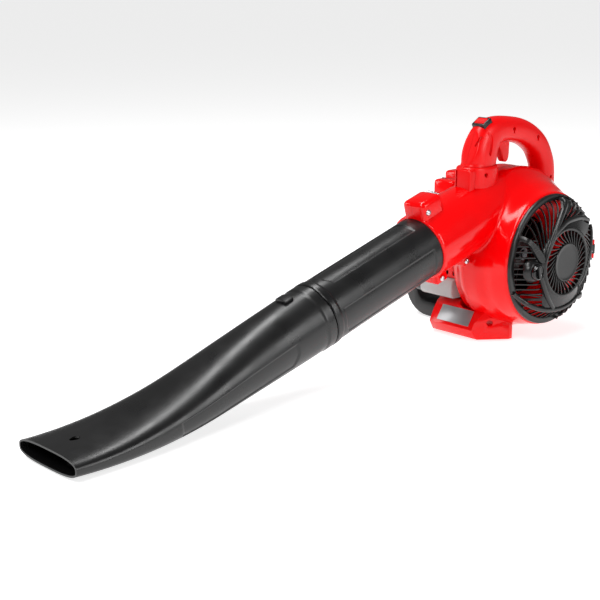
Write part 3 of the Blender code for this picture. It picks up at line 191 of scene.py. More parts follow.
def bentGrid(name, along, around, place, ends=True):
    # a grid rolled up on itself: u runs along it, v goes round
    deselect()
    bpy.ops.mesh.primitive_grid_add(x_subdivisions=along, y_subdivisions=around, size=2)
    piece = bpy.context.object
    piece.name = name
    for vertex in piece.data.vertices:
        vertex.co = place((vertex.co.x + 1) / 2, (vertex.co.y + 1) / 2)
    editAll(piece)
    bpy.ops.mesh.remove_doubles(threshold=1e-6)
    if ends:
        bpy.ops.mesh.select_all(action="DESELECT")
        bpy.ops.mesh.select_mode(type="EDGE")
        bpy.ops.mesh.select_non_manifold(extend=False)
        bpy.ops.mesh.fill_holes(sides=0)
    bpy.ops.mesh.select_all(action="SELECT")
    bpy.ops.mesh.normals_make_consistent(inside=False)
    bpy.ops.object.mode_set(mode="OBJECT")
    return piece


def spun(name, profile, origin, axis, steps=64, closed=False):
    # profile of (radius, height) in millimetres; one that is not closed ends on the axis
    axis = Vector(axis).normalized()
    side = axis.orthogonal().normalized()
    deselect()
    bpy.ops.mesh.primitive_circle_add(vertices=max(3, len(profile)), radius=1)
    piece = bpy.context.object
    piece.name = name
    for vertex, (radius, height) in zip(piece.data.vertices, profile):
        vertex.co = origin + side * radius * mm + axis * height * mm
    if not closed:
        for vertex in piece.data.vertices:
            vertex.select = False
        for edge in piece.data.edges:
            edge.select = set(edge.vertices) == {0, len(profile) - 1}
        bpy.ops.object.mode_set(mode="EDIT")
        bpy.ops.mesh.select_mode(type="EDGE")
        bpy.ops.mesh.delete(type="EDGE_FACE")
        bpy.ops.mesh.select_mode(type="VERT")
    editAll(piece)
    bpy.ops.mesh.spin(steps=steps, angle=math.tau, center=origin, axis=axis)
    bpy.ops.object.mode_set(mode="OBJECT")
    return facesOut(piece)


def bevelled(piece, width, segments=3, angle=40):
    step = piece.modifiers.new("edges", "BEVEL")
    step.width = width * mm
    step.segments = segments
    step.limit_method = "ANGLE"
    step.angle_limit = math.radians(angle)
    step.harden_normals = False
    return applyAll(piece)


def slab(name, low, high, edge=1.0, segments=3):
    # a box between two corners, with rounded edges
    low, high = Vector(low), Vector(high)
    deselect()
    bpy.ops.mesh.primitive_cube_add(size=1, location=(low + high) / 2, scale=high - low)
    piece = settle(bpy.context.object)
    piece.name = name
    return bevelled(piece, edge, segments) if edge else piece


def peg(name, start, end, radius, sides=48, endRadius=None):
    start, end = Vector(start), Vector(end)
    deselect()
    bpy.ops.mesh.primitive_cone_add(
        vertices=sides, radius1=radius * mm, radius2=(radius if endRadius is None else endRadius) * mm,
        depth=(end - start).length, location=(start + end) / 2,
        rotation=(end - start).to_track_quat("Z", "Y").to_euler())
    piece = settle(bpy.context.object)
    piece.name = name
    return piece


def outlined(name, outline, low, high, axis="X"):
    # a flat outline, filled and pulled out along one axis
    order = {"X": (2, 0, 1), "Y": (0, 2, 1), "Z": (0, 1, 2)}[axis]
    deselect()
    bpy.ops.mesh.primitive_circle_add(vertices=len(outline), radius=1, fill_type="NGON")
    piece = bpy.context.object
    piece.name = name
    for vertex, (u, v) in zip(piece.data.vertices, outline):
        vertex.co = [(u, v, low)[i] for i in order]
    editAll(piece)
    bpy.ops.mesh.extrude_region_move(
        TRANSFORM_OT_translate={"value": [(0, 0, high - low)[i] for i in order]})
    bpy.ops.object.mode_set(mode="OBJECT")
    return facesOut(piece)


def combine(piece, others, operation):
    for other in others:
        step = piece.modifiers.new(operation.lower(), "BOOLEAN")
        step.operation = operation
        step.solver = "EXACT"
        step.object = other
    applyAll(piece)
    for other in others:
        bpy.data.objects.remove(other)
    return piece


def cut(piece, *others):
    return combine(piece, others, "DIFFERENCE")


def unite(piece, *others):
    return combine(piece, others, "UNION")


def joined(name, pieces):
    # several closed shapes as one object
    deselect()
    for piece in pieces:
        piece.select_set(True)
    bpy.context.view_layer.objects.active = pieces[0]
    bpy.ops.object.join()
    pieces[0].name = name
    return pieces[0]


def duplicate(piece, name):
    copy = bpy.data.objects.new(name, piece.data.copy())
    bpy.context.scene.collection.objects.link(copy)
    return copy


def half(piece, name, sign):
    # the side of the tube plane where x has that sign
    copy = duplicate(piece, name)
    editAll(copy)
    bpy.ops.mesh.bisect(plane_co=(sign * gap / 2, 0, 0), plane_no=(sign, 0, 0), use_fill=True,
                        clear_inner=True)
    bpy.ops.object.mode_set(mode="OBJECT")
    return copy


def curveThrough(points, perSpan=6):
    # points along a smooth curve through the given ones
    points = [Vector(p) for p in points]
    ends = [2 * points[0] - points[1]] + points + [2 * points[-1] - points[-2]]
    path = []
    for a, b, c, d in zip(ends, ends[1:], ends[2:], ends[3:]):
        for step in range(perSpan):
            t = step / perSpan
            path.append(0.5 * (2 * b + (c - a) * t + (2 * a - 5 * b + 4 * c - d) * t * t
                               + (3 * b - a - 3 * c + d) * t ** 3))
    return path + [points[-1]]


def along(path, t):
    # a point, or a list of numbers, at share t of a list of Vectors
    place = min(max(t, 0.0), 1.0) * (len(path) - 1)
    i = min(int(place), len(path) - 2)
    return path[i].lerp(path[i + 1], place - i)


def ease(low, high, value):
    t = min(max((value - low) / (high - low), 0.0), 1.0)
    return t * t * (3 - 2 * t)


def refined(node, name, width, angle=40, shade=35):
    # a closer copy of a CAD node, with its edges rounded
    copy = duplicate(frame["nodes"][node], name)
    copy.data.materials.clear()
    editAll(copy)
    bpy.ops.mesh.remove_doubles(threshold=1e-6)
    bpy.ops.mesh.dissolve_limited(angle_limit=math.radians(3))
    bpy.ops.object.mode_set(mode="OBJECT")
    bevelled(copy, width, 2, angle)
    smooth(copy, shade)
    return copy


# ---- finishes

def plastic(name, colour, roughness, spread, grain, depth, metal=0.0, coat=0.0, drift=0.06, shine=0.26):
    # colour drifts over the piece, and grain breaks up its gloss and its surface
    material = bpy.data.materials.new(name)
    material.use_nodes = True
    nodes, links = material.node_tree.nodes, material.node_tree.links
    shader = nodes["Principled BSDF"]
    shader.inputs["Metallic"].default_value = metal
    shader.inputs["Coat Weight"].default_value = coat
    shader.inputs["Coat Roughness"].default_value = 0.06
    shader.inputs["Specular IOR Level"].default_value = shine
    place = nodes.new("ShaderNodeTexCoord")

    def noise(scale, detail):
        made = nodes.new("ShaderNodeTexNoise")
        made.inputs["Scale"].default_value = scale
        made.inputs["Detail"].default_value = detail
        links.new(place.outputs["Object"], made.inputs["Vector"])
        return made

    cloud = noise(9, 3)
    tint = nodes.new("ShaderNodeValToRGB")
    tint.color_ramp.elements[0].position = 0.3
    tint.color_ramp.elements[1].position = 0.7
    tint.color_ramp.elements[0].color = (*[c * (1 - drift) for c in colour], 1)
    tint.color_ramp.elements[1].color = (*[min(1, c * (1 + drift)) for c in colour], 1)
    links.new(cloud.outputs["Fac"], tint.inputs["Fac"])
    links.new(tint.outputs["Color"], shader.inputs["Base Color"])
    smear = noise(28, 4)
    gloss = nodes.new("ShaderNodeMapRange")
    gloss.inputs["From Min"].default_value = 0.3
    gloss.inputs["From Max"].default_value = 0.7
    gloss.inputs["To Min"].default_value = roughness - spread
    gloss.inputs["To Max"].default_value = roughness + spread
    links.new(smear.outputs["Fac"], gloss.inputs["Value"])
    links.new(gloss.outputs["Result"], shader.inputs["Roughness"])
    fine = noise(grain, 2)
    bump = nodes.new("ShaderNodeBump")
    bump.inputs["Strength"].default_value = 0.35
    bump.inputs["Distance"].default_value = depth
    links.new(fine.outputs["Fac"], bump.inputs["Height"])
    links.new(bump.outputs["Normal"], shader.inputs["Normal"])
    return material


finishes = {
    "red_gloss": plastic("glossRedNylon", (0.80, 0.0, 0.001), 0.15, 0.05, 420, 0.00004, coat=0.10),
    "red_satin": plastic("satinRedNylon", (0.74, 0.0, 0.001), 0.32, 0.06, 900, 0.00008),
    "black_satin": plastic("satinBlackPolypropylene", (0.0055, 0.0055, 0.0057), 0.31, 0.06, 1300,
                           0.00009, drift=0.2, shine=0.46),
    "black_gloss": plastic("glossBlackPlastic", (0.003, 0.003, 0.0032), 0.07, 0.03, 500, 0.00002,
                           coat=0.5, drift=0.1),
    "rubber": plastic("mattRubber", (0.011, 0.011, 0.011), 0.72, 0.08, 1500, 0.00012, drift=0.15),
    "tank": plastic("milkyPolyethylene", (0.40, 0.405, 0.40), 0.24, 0.06, 300, 0.00012, drift=0.10),
    "foam": plastic("filterFoam", (0.10, 0.10, 0.105), 0.95, 0.04, 1800, 0.0006, drift=0.3),
    "alloy": plastic("castAlloy", (0.52, 0.52, 0.53), 0.42, 0.10, 1600, 0.00015, metal=1.0,
                     drift=0.12, shine=0.5),
    "steel": plastic("zincedSteel", (0.66, 0.67, 0.69), 0.24, 0.08, 1400, 0.00003, metal=1.0,
                     drift=0.08, shine=0.5),
    "ceramic": plastic("glazedCeramic", (0.80, 0.80, 0.76), 0.16, 0.03, 500, 0.00002, coat=0.4),
    "plate": plastic("blankPlate", (0.42, 0.42, 0.43), 0.34, 0.06, 900, 0.00003, metal=0.85,
                     drift=0.05, shine=0.5),
}
# the crankshaft, impeller nut and flywheel get a darker steel than the other steel parts: painted shade, which
# stands in for the shade inside the housing and keeps a bright reflection off them
paintedShadeSteelFinish = plastic("paintedShadeSteel", (0.16, 0.16, 0.17), 0.38, 0.08, 1400, 0.00004, metal=1.0, drift=0.2, shine=0.5)
paintedShadeSteelNodes = ("crankshaft", "impeller_nut", "flywheel")
for part in frame["record"]["subparts"]:
    node = frame["nodes"][part["node"]]
    node.data.materials.clear()
    node.data.materials.append(paintedShadeSteelFinish if part["node"] in paintedShadeSteelNodes else finishes[part["material_slot"]])


def finishPiece(piece, slot, body="machine", nodes=(), shade=32, shaded=False):
    piece.data.materials.clear()
    piece.data.materials.append(finishes[slot])
    for face in piece.data.polygons:
        face.material_index = 0
    if not shaded:
        smooth(piece, shade)
    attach(piece, body)
    if nodes:
        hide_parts(*nodes)
    return piece


addCamera()
addStage()
print("camera, light and floor are in place")


# ---- housing

volute = {
    "radius": 106, "growth": 30, "back": 40, "bell": 78, "lip": 102, "wall": 3,
    "voxel": 1.7, "melt": 14, "slim": 13,
}


def voluteSize(angle, radius, share):
    # the scroll grows from the front, under, behind and over the top
    turn = (angle / math.tau) % 1.0
    growth = turn / 0.78 if turn < 0.78 else max(0.0, 1 - (turn - 0.78) / 0.17)
    return radius + volute["growth"] * share * growth


def voluteSkin(name, inset=0.0):
    r = volute["radius"] - inset
    rear = -volute["back"] + inset
    outside = inset <= 0
    lip = volute["lip"] - inset
    stations = [Vector(s) for s in (
        (rear, r - 12, 0.6), (rear + 1.2, r - 8.5, 0.72), (rear + 4, r - 5, 0.85),
        (rear + 12, r - 1, 1.0), (-10, r, 1.0), (6, r, 1.0), (22, r, 1.0), (38, r - 2, 0.66),
        (52, (r + lip) / 2, 0.36), (65, lip + 1, 0.10 if outside else 0.08),
        (volute["bell"] if outside else volute["bell"] + 3, lip, 0.0))]
    path = curveThrough(stations, 4)

    def place(u, v):
        x, radius, share = along(path, u)
        size = voluteSize(v * math.tau, radius, share)
        size -= volute["slim"] * max(0.0, math.cos(v * math.tau - 0.15)) ** 2 * ease(2, 30, -x)
        return byFan(x, -size * math.cos(v * math.tau), -size * math.sin(v * math.tau))

    return bentGrid(name, 40, 144, place)


def neckSkin(name, inset=0.0, end=0.0):
    socket = 49.6 - inset
    root = volute["back"] - inset
    stations = [Vector(s) for s in (
        (-20, root - 3.7, socket - 10), (30, root + 2.3, socket - 4), (80, root + 9.3, socket + 1),
        (130, socket + 1.5, socket + 2), (191 + end, socket, socket))]
    path = curveThrough(stations, 4)

    def place(u, v):
        far, wide, tall = along(path, u)
        return byTube(far, tall * math.sin(v * math.tau), wide * math.cos(v * math.tau))

    return bentGrid(name, 24, 96, place)


def tubeSlab(name, far, rise, side, edge=3.0):
    piece = slab(name, Vector((side[0], far[0], rise[0])) * mm, Vector((side[1], far[1], rise[1])) * mm,
                 edge)
    turn = Matrix(((1, 0, 0, 0), (0, tubeDir.y, tubeUp.y, 0), (0, tubeDir.z, tubeUp.z, 0),
                   (0, 0, 0, 1)))
    turn.translation = tubeFoot
    piece.data.transform(turn)
    return facesOut(piece)


screws = {
    # head's place along, above and beside the tube axis
    "topScrew": ("top_screw", 181, 55, 22.4),
    "lowerScrew": ("lower_screw", 166, -60, 12),
    "frontScrew": ("front_screw", 110, -58, 14),
}


def makeHousing():
    shell = voluteSkin("housing")
    unite(shell, neckSkin("neck"))
    melt = shell.modifiers.new("blend", "REMESH")
    melt.mode = "VOXEL"
    melt.voxel_size = volute["voxel"] * mm
    melt.use_smooth_shade = True
    soften = shell.modifiers.new("soften", "SMOOTH")
    soften.factor = 0.5
    soften.iterations = volute["melt"]
    applyAll(shell)
    knuckleX, knuckleY = 83.2, 107.5
    unite(
        shell,
        tubeSlab("topBlock", (146, 191), (30, 71), (-18, 22), 7),
        tubeSlab("lowBlock", (153, 177), (-67, -38), (-20, 11), 3),
        tubeSlab("frontBlock", (94, 117), (-65, -46), (-20, 13), 3),
    )
    for low, high in ((-14.5, -7.3), (7.3, 14.5)):
        unite(shell, peg("knuckle", byFan(knuckleX, knuckleY, low), byFan(knuckleX, knuckleY, high), 3.7),
              slab("arm", byFan(knuckleX - 14, knuckleY - 8, low), byFan(knuckleX - 3, knuckleY + 2, high), 1))
    print("housing shape is blended")
    cut(
        shell,
        voluteSkin("hollow", volute["wall"]),
        neckSkin("duct", volute["wall"] + 4.5, 0.5),
        peg("socket", byTube(149), byTube(196), 46.3, 96),
        peg("shaftHole", byFan(-43, 0, 0), byFan(0, 0, 0), 12),
        peg("pinHole", byFan(knuckleX, knuckleY, -20), byFan(knuckleX, knuckleY, 20), 2.3, 24),
    )
    for name, (node, far, rise, side) in screws.items():
        cut(shell, peg("hole", byTube(far, rise, side + 5), byTube(far, rise, side - 27), 2.3, 24))
    intakeHalf = half(shell, "housingIntakeHalf", 1)
    engineHalf = half(shell, "housingEngineHalf", -1)
    bpy.data.objects.remove(shell)
    finishPiece(intakeHalf, "red_gloss", nodes=["housing_intake_half"], shade=40)
    finishPiece(engineHalf, "red_gloss", nodes=["housing_engine_half"], shade=40)


makeHousing()
print("housing is done")


def makeScrews():
    head = {"radius": 4.6, "height": 3.4, "cross": 1.1, "reach": 2.7, "depth": 1.6}
    for name, (node, far, rise, side) in screws.items():
        seat = byTube(far, rise, side - 1 + 0.3)
        screw = spun(name, [(0, 3.4), (1.6, 3.35), (2.9, 3.0), (3.9, 2.3), (4.5, 1.2), (4.6, 0.4), (4.5, 0),
                            (2.0, 0), (2.0, -26), (0, -26)], seat, right, 32)
        for turn in (20, 110):
            blade = slab("cross", Vector((head["height"] - head["depth"], -head["reach"], -head["cross"] / 2)) * mm,
                         Vector((head["height"] + 2, head["reach"], head["cross"] / 2)) * mm, 0)
            blade.data.transform(Matrix.Translation(seat) @ Matrix.Rotation(math.radians(turn), 4, "X"))
            cut(screw, blade)
        finishPiece(screw, "steel", nodes=[node], shade=40)


makeScrews()
print("screws are done")


# ---- blow tube

def panelDip(low, high, value, soft):
    return ease(low - soft, low + soft, value) * (1 - ease(high - soft, high + soft, value))


upperTube = {
    "radius": 46, "wall": 2.4, "start": 151, "end": 412, "dip": 1.3,
    "sidePanel": ((205, 393), (-38, 15)), "topPanel": ((213, 381), (64, 116)), "flare": 1.6,
}


def makeUpperTube():
    t = upperTube
    reach = t["end"] - t["start"]

    def place(u, v):
        far = t["start"] + reach * u
        angle = (v * 360 + 180) % 360 - 180
        (a, b), (c, d) = t["sidePanel"]
        slant = b - max(0, -angle - 20) * 0.35
        dip = panelDip(a, slant, far, 0.7) * panelDip(c, d, angle, 1.0)
        other = -180 - angle if angle < 0 else 180 - angle
        dip += panelDip(a, b, far, 0.7) * panelDip(c, d, other, 1.0)
        (a, b), (c, d) = t["topPanel"]
        nose = b + 6 * (1 - min(1, max(0, abs(angle - 90) - 12) / 13))
        dip += panelDip(a, nose, far, 0.7) * panelDip(c, d, angle, 1.0)
        radius = t["radius"] - t["dip"] * dip + t["flare"] * ease(400, 402, far)
        radius -= 0.8 * ease(410.6, 412, far)
        turn = math.radians(angle)
        return byTube(far, radius * math.sin(turn), radius * math.cos(turn))

    tube = bentGrid("upperTube", 200, 288, place, ends=False)
    wall = tube.modifiers.new("wall", "SOLIDIFY")
    wall.thickness = t["wall"] * mm
    wall.offset = -1
    applyAll(tube)
    finishPiece(tube, "black_satin", nodes=["upper_tube"], shade=50)


makeUpperTube()
print("upper tube is done")

nozzle = {
    "run": 427, "straight": 200, "tipWidth": 121, "tipHeight": 25.6, "radius": 46, "wall": 2.4,
    "joint": 412, "sleeve": 34, "panelDip": 1.4,
}


def nozzlePoint(run, angle, inset):
    # run along the ground from the joint; the section goes from round to flat
    n = nozzle
    joint = byTube(n["joint"])
    drop = math.tan(tilt)
    lift = n["tipHeight"] / 2 * mm - (joint.z - drop * n["run"] * mm)
    curve = max(0.0, run - n["straight"]) / (n["run"] - n["straight"])
    centre = joint + Vector((0, -run * mm, -drop * run * mm + lift * curve ** 2))
    slope = -drop + 2 * lift * curve / ((n["run"] - n["straight"]) * mm)
    upward = Vector((0, slope, 1)).normalized()
    t = max(0.0, run - 30) / (n["run"] - 30)
    flat = t * t * (3 - 2 * t)
    halfWidth = n["radius"] + (n["tipWidth"] / 2 - n["radius"]) * flat - inset
    halfHeight = n["radius"] + (n["tipHeight"] / 2 - n["radius"]) * (0.35 * t + 0.65 * flat) - inset
    if run >= n["run"] - 0.01:
        upward = up
    power = 2 / (2 + 0.9 * flat)
    c, s = math.cos(angle), math.sin(angle)
    u = math.copysign(abs(c) ** power, c) * halfWidth
    v = math.copysign(abs(s) ** power, s) * halfHeight
    return centre + (right * u + upward * v) * mm


def makeNozzle():
    n = nozzle
    first = 2.2 * math.cos(tilt)

    def place(u, v):
        run = first + (n["run"] - first) * u
        angle = (v * 360 + 180) % 360 - 180
        side = angle if abs(angle) <= 90 else (180 - angle if angle > 0 else -180 - angle)
        dip = panelDip(70 + max(0, -side - 10) * 0.4, 270, run, 1.0) * panelDip(-34, 8, side, 1.0)
        rim = -1.2 * (1 - ease(15, 17, run)) if run < 17 else 0.0
        return nozzlePoint(run, math.radians(angle), n["panelDip"] * dip + rim)

    tube = bentGrid("nozzle", 220, 240, place, ends=False)
    wall = tube.modifiers.new("wall", "SOLIDIFY")
    wall.thickness = n["wall"] * mm
    wall.offset = -1
    applyAll(tube)
    hole = outlined("hangHole", hangHole(), 8 * mm, 60 * mm, "Z")
    cut(tube, hole)
    sleeve = spun("sleeve", [(43.3, -n["sleeve"]), (43.3, 18), (40.9, 18), (40.9, -n["sleeve"])],
                  byTube(n["joint"]), tubeDir, 96, True)
    lock = [sectorBand("band", 26, 45, -16, 74, 45.0, 47.6), sectorBand("bandLeg", 4.0, 45, -17, 3, 45.0, 47.6)]
    frameCut = sectorBand("bandCut", 29.5, 41.5, 7.0, 70, 46.9, 49)
    band = unite(lock[0], lock[1])
    bevelled(band, 0.7, 2, 50)
    cut(band, frameCut)
    bump = sectorBand("bump", 34, 49, 78, 102, 45.5, 50.2)
    bevelled(bump, 1.2, 3, 50)
    piece = joined("nozzleTube", [tube, sleeve, band, bump])
    finishPiece(piece, "black_satin", "nozzle", ["nozzle_tube"], shade=50)


def hangHole():
    # a teardrop, its point to the front
    middle = byTube(nozzle["joint"]).y - (nozzle["run"] - 40) * mm
    points = []
    for i in range(24):
        angle = math.tau * i / 24
        reach = 5.5 * (1 + 0.55 * max(0.0, math.cos(angle)) ** 6)
        points.append((reach * math.sin(angle) * mm, middle - reach * math.cos(angle) * mm))
    return points


def sectorBand(name, start, end, low, high, inner, outer, steps=24):
    # a slice of a ring round the tube: start and end run along it from the joint, low and high are degrees
    angles = [math.radians(low + (high - low) * i / steps) for i in range(steps + 1)]
    outline = [(outer * math.cos(a), outer * math.sin(a)) for a in angles]
    outline += [(inner * math.cos(a), inner * math.sin(a)) for a in reversed(angles)]
    piece = outlined(name, [(x * mm, y * mm) for x, y in outline], start * mm, end * mm, "Z")
    turn = Matrix((right, tubeUp, tubeDir)).transposed().to_4x4()
    turn.translation = byTube(nozzle["joint"])
    piece.data.transform(turn)
    return facesOut(piece)


makeNozzle()
print("nozzle is done")


# ---- grille

grille = {
    "lip": 78.3, "ring": 52, "vanes": 32, "fins": 45, "slatPitch": 8.2, "finWidth": 1.9,
    "finDepth": 5.0, "slatDepth": 2.6,
    # radius and height above the lip, from the rim in to the centre ring
    "bowl": ((100, 5), (97, 6), (94.5, 9), (93, 15), (90.5, 18.3), (86, 20.6), (80, 22.3), (70, 25.6),
             (60, 29), (52, 32), (0, 33)),
}


def domeHeight(radius):
    bowl = grille["bowl"]
    for (r1, h1), (r2, h2) in zip(bowl, bowl[1:]):
        if radius >= r2:
            return h2 + (h1 - h2) * min(1.0, (radius - r2) / (r1 - r2))
    return bowl[-1][1]


def onDome(radius, degrees, rise=0.0):
    angle = math.radians(degrees)
    return byFan(grille["lip"] + domeHeight(radius) + rise, radius * math.cos(angle), radius * math.sin(angle))


def rib(name, points, widths, depth, rounding=0.5):
    # a bar laid along points, its top on them, with widths spaced evenly along it
    wides = [Vector((w, 0, 0)) for w in widths]
    if len(wides) < 2:
        wides *= 2

    def place(u, v):
        point = along(points, u)
        ahead = (along(points, min(1, u + 0.02)) - along(points, max(0, u - 0.02))).normalized()
        side = ahead.cross(right).normalized()
        inward = ahead.cross(side).normalized()
        if inward.x > 0:
            inward = -inward
        c, s = math.cos(v * math.tau), math.sin(v * math.tau)
        a = math.copysign(abs(c) ** rounding, c) * along(wides, u).x / 2
        b = math.copysign(abs(s) ** rounding, s) * depth / 2
        return point + (side * a + inward * (depth / 2 - b)) * mm

    return bentGrid(name, max(6, len(points)), 12, place)


def polar(y, z):
    return math.hypot(y, z), math.degrees(math.atan2(z, y))


def domePath(points, rise=0.0, perSpan=6):
    # through (behind, above) places on the dome
    flat = curveThrough([Vector((y, z, 0)) for y, z in points], perSpan)
    return [onDome(*polar(p.x, p.y), rise) for p in flat]


def turned(piece, degrees):
    copy = duplicate(piece, piece.name + "Copy")
    centre = byFan(0, 0, 0)
    copy.data.transform(Matrix.Translation(centre) @ Matrix.Rotation(math.radians(degrees), 4, "X")
                        @ Matrix.Translation(-centre))
    return copy


def around(piece, turns):
    copies = [turned(piece, turn) for turn in turns]
    bpy.data.objects.remove(piece)
    return copies


def web(name, outline, thickness, rise):
    # a skin on the dome inside an outline of (behind, above) places
    count = len(outline)
    middle = Vector((sum(p[0] for p in outline) / count, sum(p[1] for p in outline) / count, 0))
    loop = [Vector((y, z, 0)) for y, z in outline]
    loop.append(loop[0])
    loop = curveThrough(loop, 4)

    def place(u, v):
        edge = along(loop, v)
        top = u < 0.5
        spot = middle.lerp(edge, 2 * u if top else 2 - 2 * u)
        return onDome(*polar(spot.x, spot.y), rise if top else rise - thickness)

    return bentGrid(name, 16, 4 * count, place)


def makeGrille():
    g = grille
    centre = byFan(g["lip"], 0, 0)
    pieces = [
        spun("rim", [(100, 0), (100, 3.6), (99.3, 4.7), (98, 5.1), (92, 5.3), (90.6, 4.6), (90.2, 3.4),
                     (90.2, 0.3), (92, 0)], centre, right, 128, True),
        spun("ring", [(58.5, 28.2), (57.8, 29.9), (54.5, 31.2), (53.4, 33.2), (52.2, 34), (50.2, 34.2),
                      (48.8, 33.4), (48.3, 31.5), (48.4, 25.5), (52, 25.8)], centre, right, 96, True),
        spun("cap", [(0, 34.0), (22, 34.0), (26.4, 34.2), (27.8, 34.9), (28.8, 34.7), (29.3, 33.8), (29, 30),
                     (26.5, 28.8), (0, 28.8)], centre, right, 96),
    ]
    # centre vanes lean back as they go out
    vaneLine = [(27.5 + 22 * t, 24 * t + 6 * math.sin(t * math.pi)) for t in (i / 9 for i in range(10))]
    vane = rib("vane", [byFan(g["lip"] + 33.4, r * math.cos(math.radians(a)), r * math.sin(math.radians(a)))
                        for r, a in vaneLine], (1.9,), 5.5, 0.4)
    pieces += around(vane, [i * 360 / g["vanes"] for i in range(g["vanes"])])
    # fins rise steeply from the rim and swirl in to the centre ring
    steep = ((91.6, 3.5), (92.8, 7), (93.6, 11), (93.2, 15), (91, 18.2), (87, 20.4), (83, 22), (78.5, 23.6),
             (74, 25), (69, 26.6), (64, 28.4), (59, 30), (55, 31), (51.5, 31.5))
    gentle = ((91.6, 3), (90.6, 5.5), (88.4, 8.4), (85.4, 11.6), (82, 14.8), (78, 18), (74, 21), (70, 23.6),
              (66, 26), (62, 28.2), (58, 30), (54.5, 31), (51.5, 31.5))
    pitch = 360 / g["fins"]
    turns = [i * pitch for i in range(g["fins"]) if not 143 < i * pitch < 207]
    frontTurns = [turn for turn in turns if 86 < turn < 275]
    rearTurns = [turn for turn in turns if turn not in frontTurns]
    for stations, group, depth in ((steep, rearTurns, g["finDepth"]), (gentle, frontTurns, g["slatDepth"])):
        line = []
        for radius, height in stations:
            swirl = math.radians(40 * max(0.0, (91 - radius) / 39) ** 1.8)
            line.append(byFan(g["lip"] + height, radius * math.cos(swirl), radius * math.sin(swirl)))
        fin = rib("fin", line, (g["finWidth"] * 0.8, g["finWidth"]), depth, 0.45)
        pieces += around(fin, group)
    # straight slats in front of the knob
    z = 40.0
    while z > -52:
        inner = -60 if z > 26 else (-55 if z > -16 else -40 - (z + 48) * 0.45)
        outer = -math.sqrt(92.0 ** 2 - z * z)
        slat = []
        for i in range(10):
            y = outer + (inner - outer) * i / 9
            radius = math.hypot(y, z)
            slat.append(byFan(g["lip"] + 3 + (domeHeight(70) - 3) * ease(93, 66, radius), y, z))
        pieces.append(rib("slat", slat, (2.3,), g["slatDepth"], 0.5))
        z -= g["slatPitch"]
    pieces += [
        web("knobSeat", ((-84, -2), (-82, 8), (-74, 13), (-62, 14), (-52, 8), (-50, -10), (-56, -20), (-68, -22),
                         (-78, -18), (-83, -11)), 3.0, -1.2),
        # broad leaves and the webs between the arms and the ring
        web("frontLeaf", ((-82, 50), (-76, 45), (-66, 36), (-56, 22), (-50, 8), (-56, 4), (-63, 10),
                          (-70, 22), (-77, 34), (-84, 43)), 4.0, 2.0),
        web("upperWeb", ((-12, 52), (6, 60), (38, 60), (60, 53), (76, 45), (66, 38), (50, 32), (40, 38),
                         (20, 50), (0, 53)), 3.0, 0.8),
        web("lowerWeb", ((-40, -68), (-6, -73), (23, -71), (46, -62), (40, -42), (24, -48), (0, -54),
                         (-24, -49), (-40, -40), (-48, -34)), 3.0, 0.8),
        web("topWeb", ((2, 93), (17, 95), (25, 90), (18, 80), (6, 70), (-4, 74), (-2, 84)), 3.0, 1.4),
    ]
    arms = (
        (((-52, 8), (-46, 22), (-37, 37), (-20, 57), (0, 77), (17, 93.5)), (5, 8, 10, 11, 11, 9)),
        (((-29, 47), (-15, 54), (6, 61.5), (38, 62), (60, 57), (80, 50)), (10, 9.5, 8.5, 7.5, 6)),
        (((-57, -14), (-52, -24), (-43, -40), (-31, -56), (-17, -70)), (8, 9, 8.5, 7.5)),
        (((-91, -37), (-72, -55), (-42, -68), (-6, -73.6), (23, -71.2), (47, -63), (66, -64)),
         (7, 7.5, 8, 7.5, 7, 7)),
        (((34, -42), (54, -27), (69, -5), (77, 22), (79, 46)), (6, 6.5, 6, 5)),
        (((44, -63), (58, -66), (70, -62), (80, -52), (87, -38)), (6, 9, 9, 6)),
    )
    for points, widths in arms:
        pieces.append(rib("arm", domePath(points, 3.2), widths, 8, 0.75))
    seat = byFan(g["lip"], -70, -4)
    boss = spun("boss", [(0, 29.6), (12.6, 29.6), (14.2, 28.8), (15.6, 26), (17.5, 23), (17.5, 19), (0, 19)],
                seat, right, 64)
    cut(boss, peg("bossHole", seat, seat + right * 40 * mm, 4.8, 32))
    pieces.append(boss)
    pieces.append(peg("knuckle", byFan(83.5, 107.5, -7), byFan(83.5, 107.5, 7), 4.5, 32))
    pieces.append(slab("knuckleArm", byFan(79.5, 92, -7), byFan(84.5, 106, 7), 1.2))
    piece = joined("intakeGrille", pieces)
    finishPiece(piece, "black_satin", "grille", ["grille_cover"], shade=40)


makeGrille()
print("grille is done")


def makeKnob():
    seat = byFan(grille["lip"], -70, -4)
    knob = spun("latchKnob", [(0, 36.4), (5, 36.5), (9.6, 36.2), (11.6, 35.2), (12.4, 33.4), (12.4, 31), (12, 30),
                              (4.5, 30), (4.5, 12), (0, 12)], seat, right, 64)
    dish = spun("dish", [(0, 33.4), (7.2, 33.6), (9.6, 35), (10.6, 38.5), (0, 38.5)], seat, right, 64)
    cut(knob, dish)
    wing = slab("wing", Vector((32.5, -2.3, -9.8)) * mm, Vector((37.8, 2.3, 9.8)) * mm, 1.6)
    wing.data.transform(Matrix.Translation(seat) @ Matrix.Rotation(math.radians(12), 4, "X"))
    unite(knob, wing)
    finishPiece(knob, "black_gloss", "grille_knob", ["grille_knob"])


makeKnob()
print("knob is done")


def makeInletBell():
    bell = spun("inletBell", [(98.4, 75.5), (92, 74.2), (84, 71.6), (76, 67.4), (69, 60.5), (64, 51), (61.3, 41),
                              (60, 30), (62.4, 30), (63.7, 41), (66.4, 50.4), (71, 58.6), (77.4, 65), (85, 68.8),
                              (92.6, 71.4), (98.4, 72.9)], byFan(0, 0, 0), right, 96, True)
    finishPiece(bell, "red_satin", nodes=["inlet_cone"], shade=40)


makeInletBell()


# ---- handle

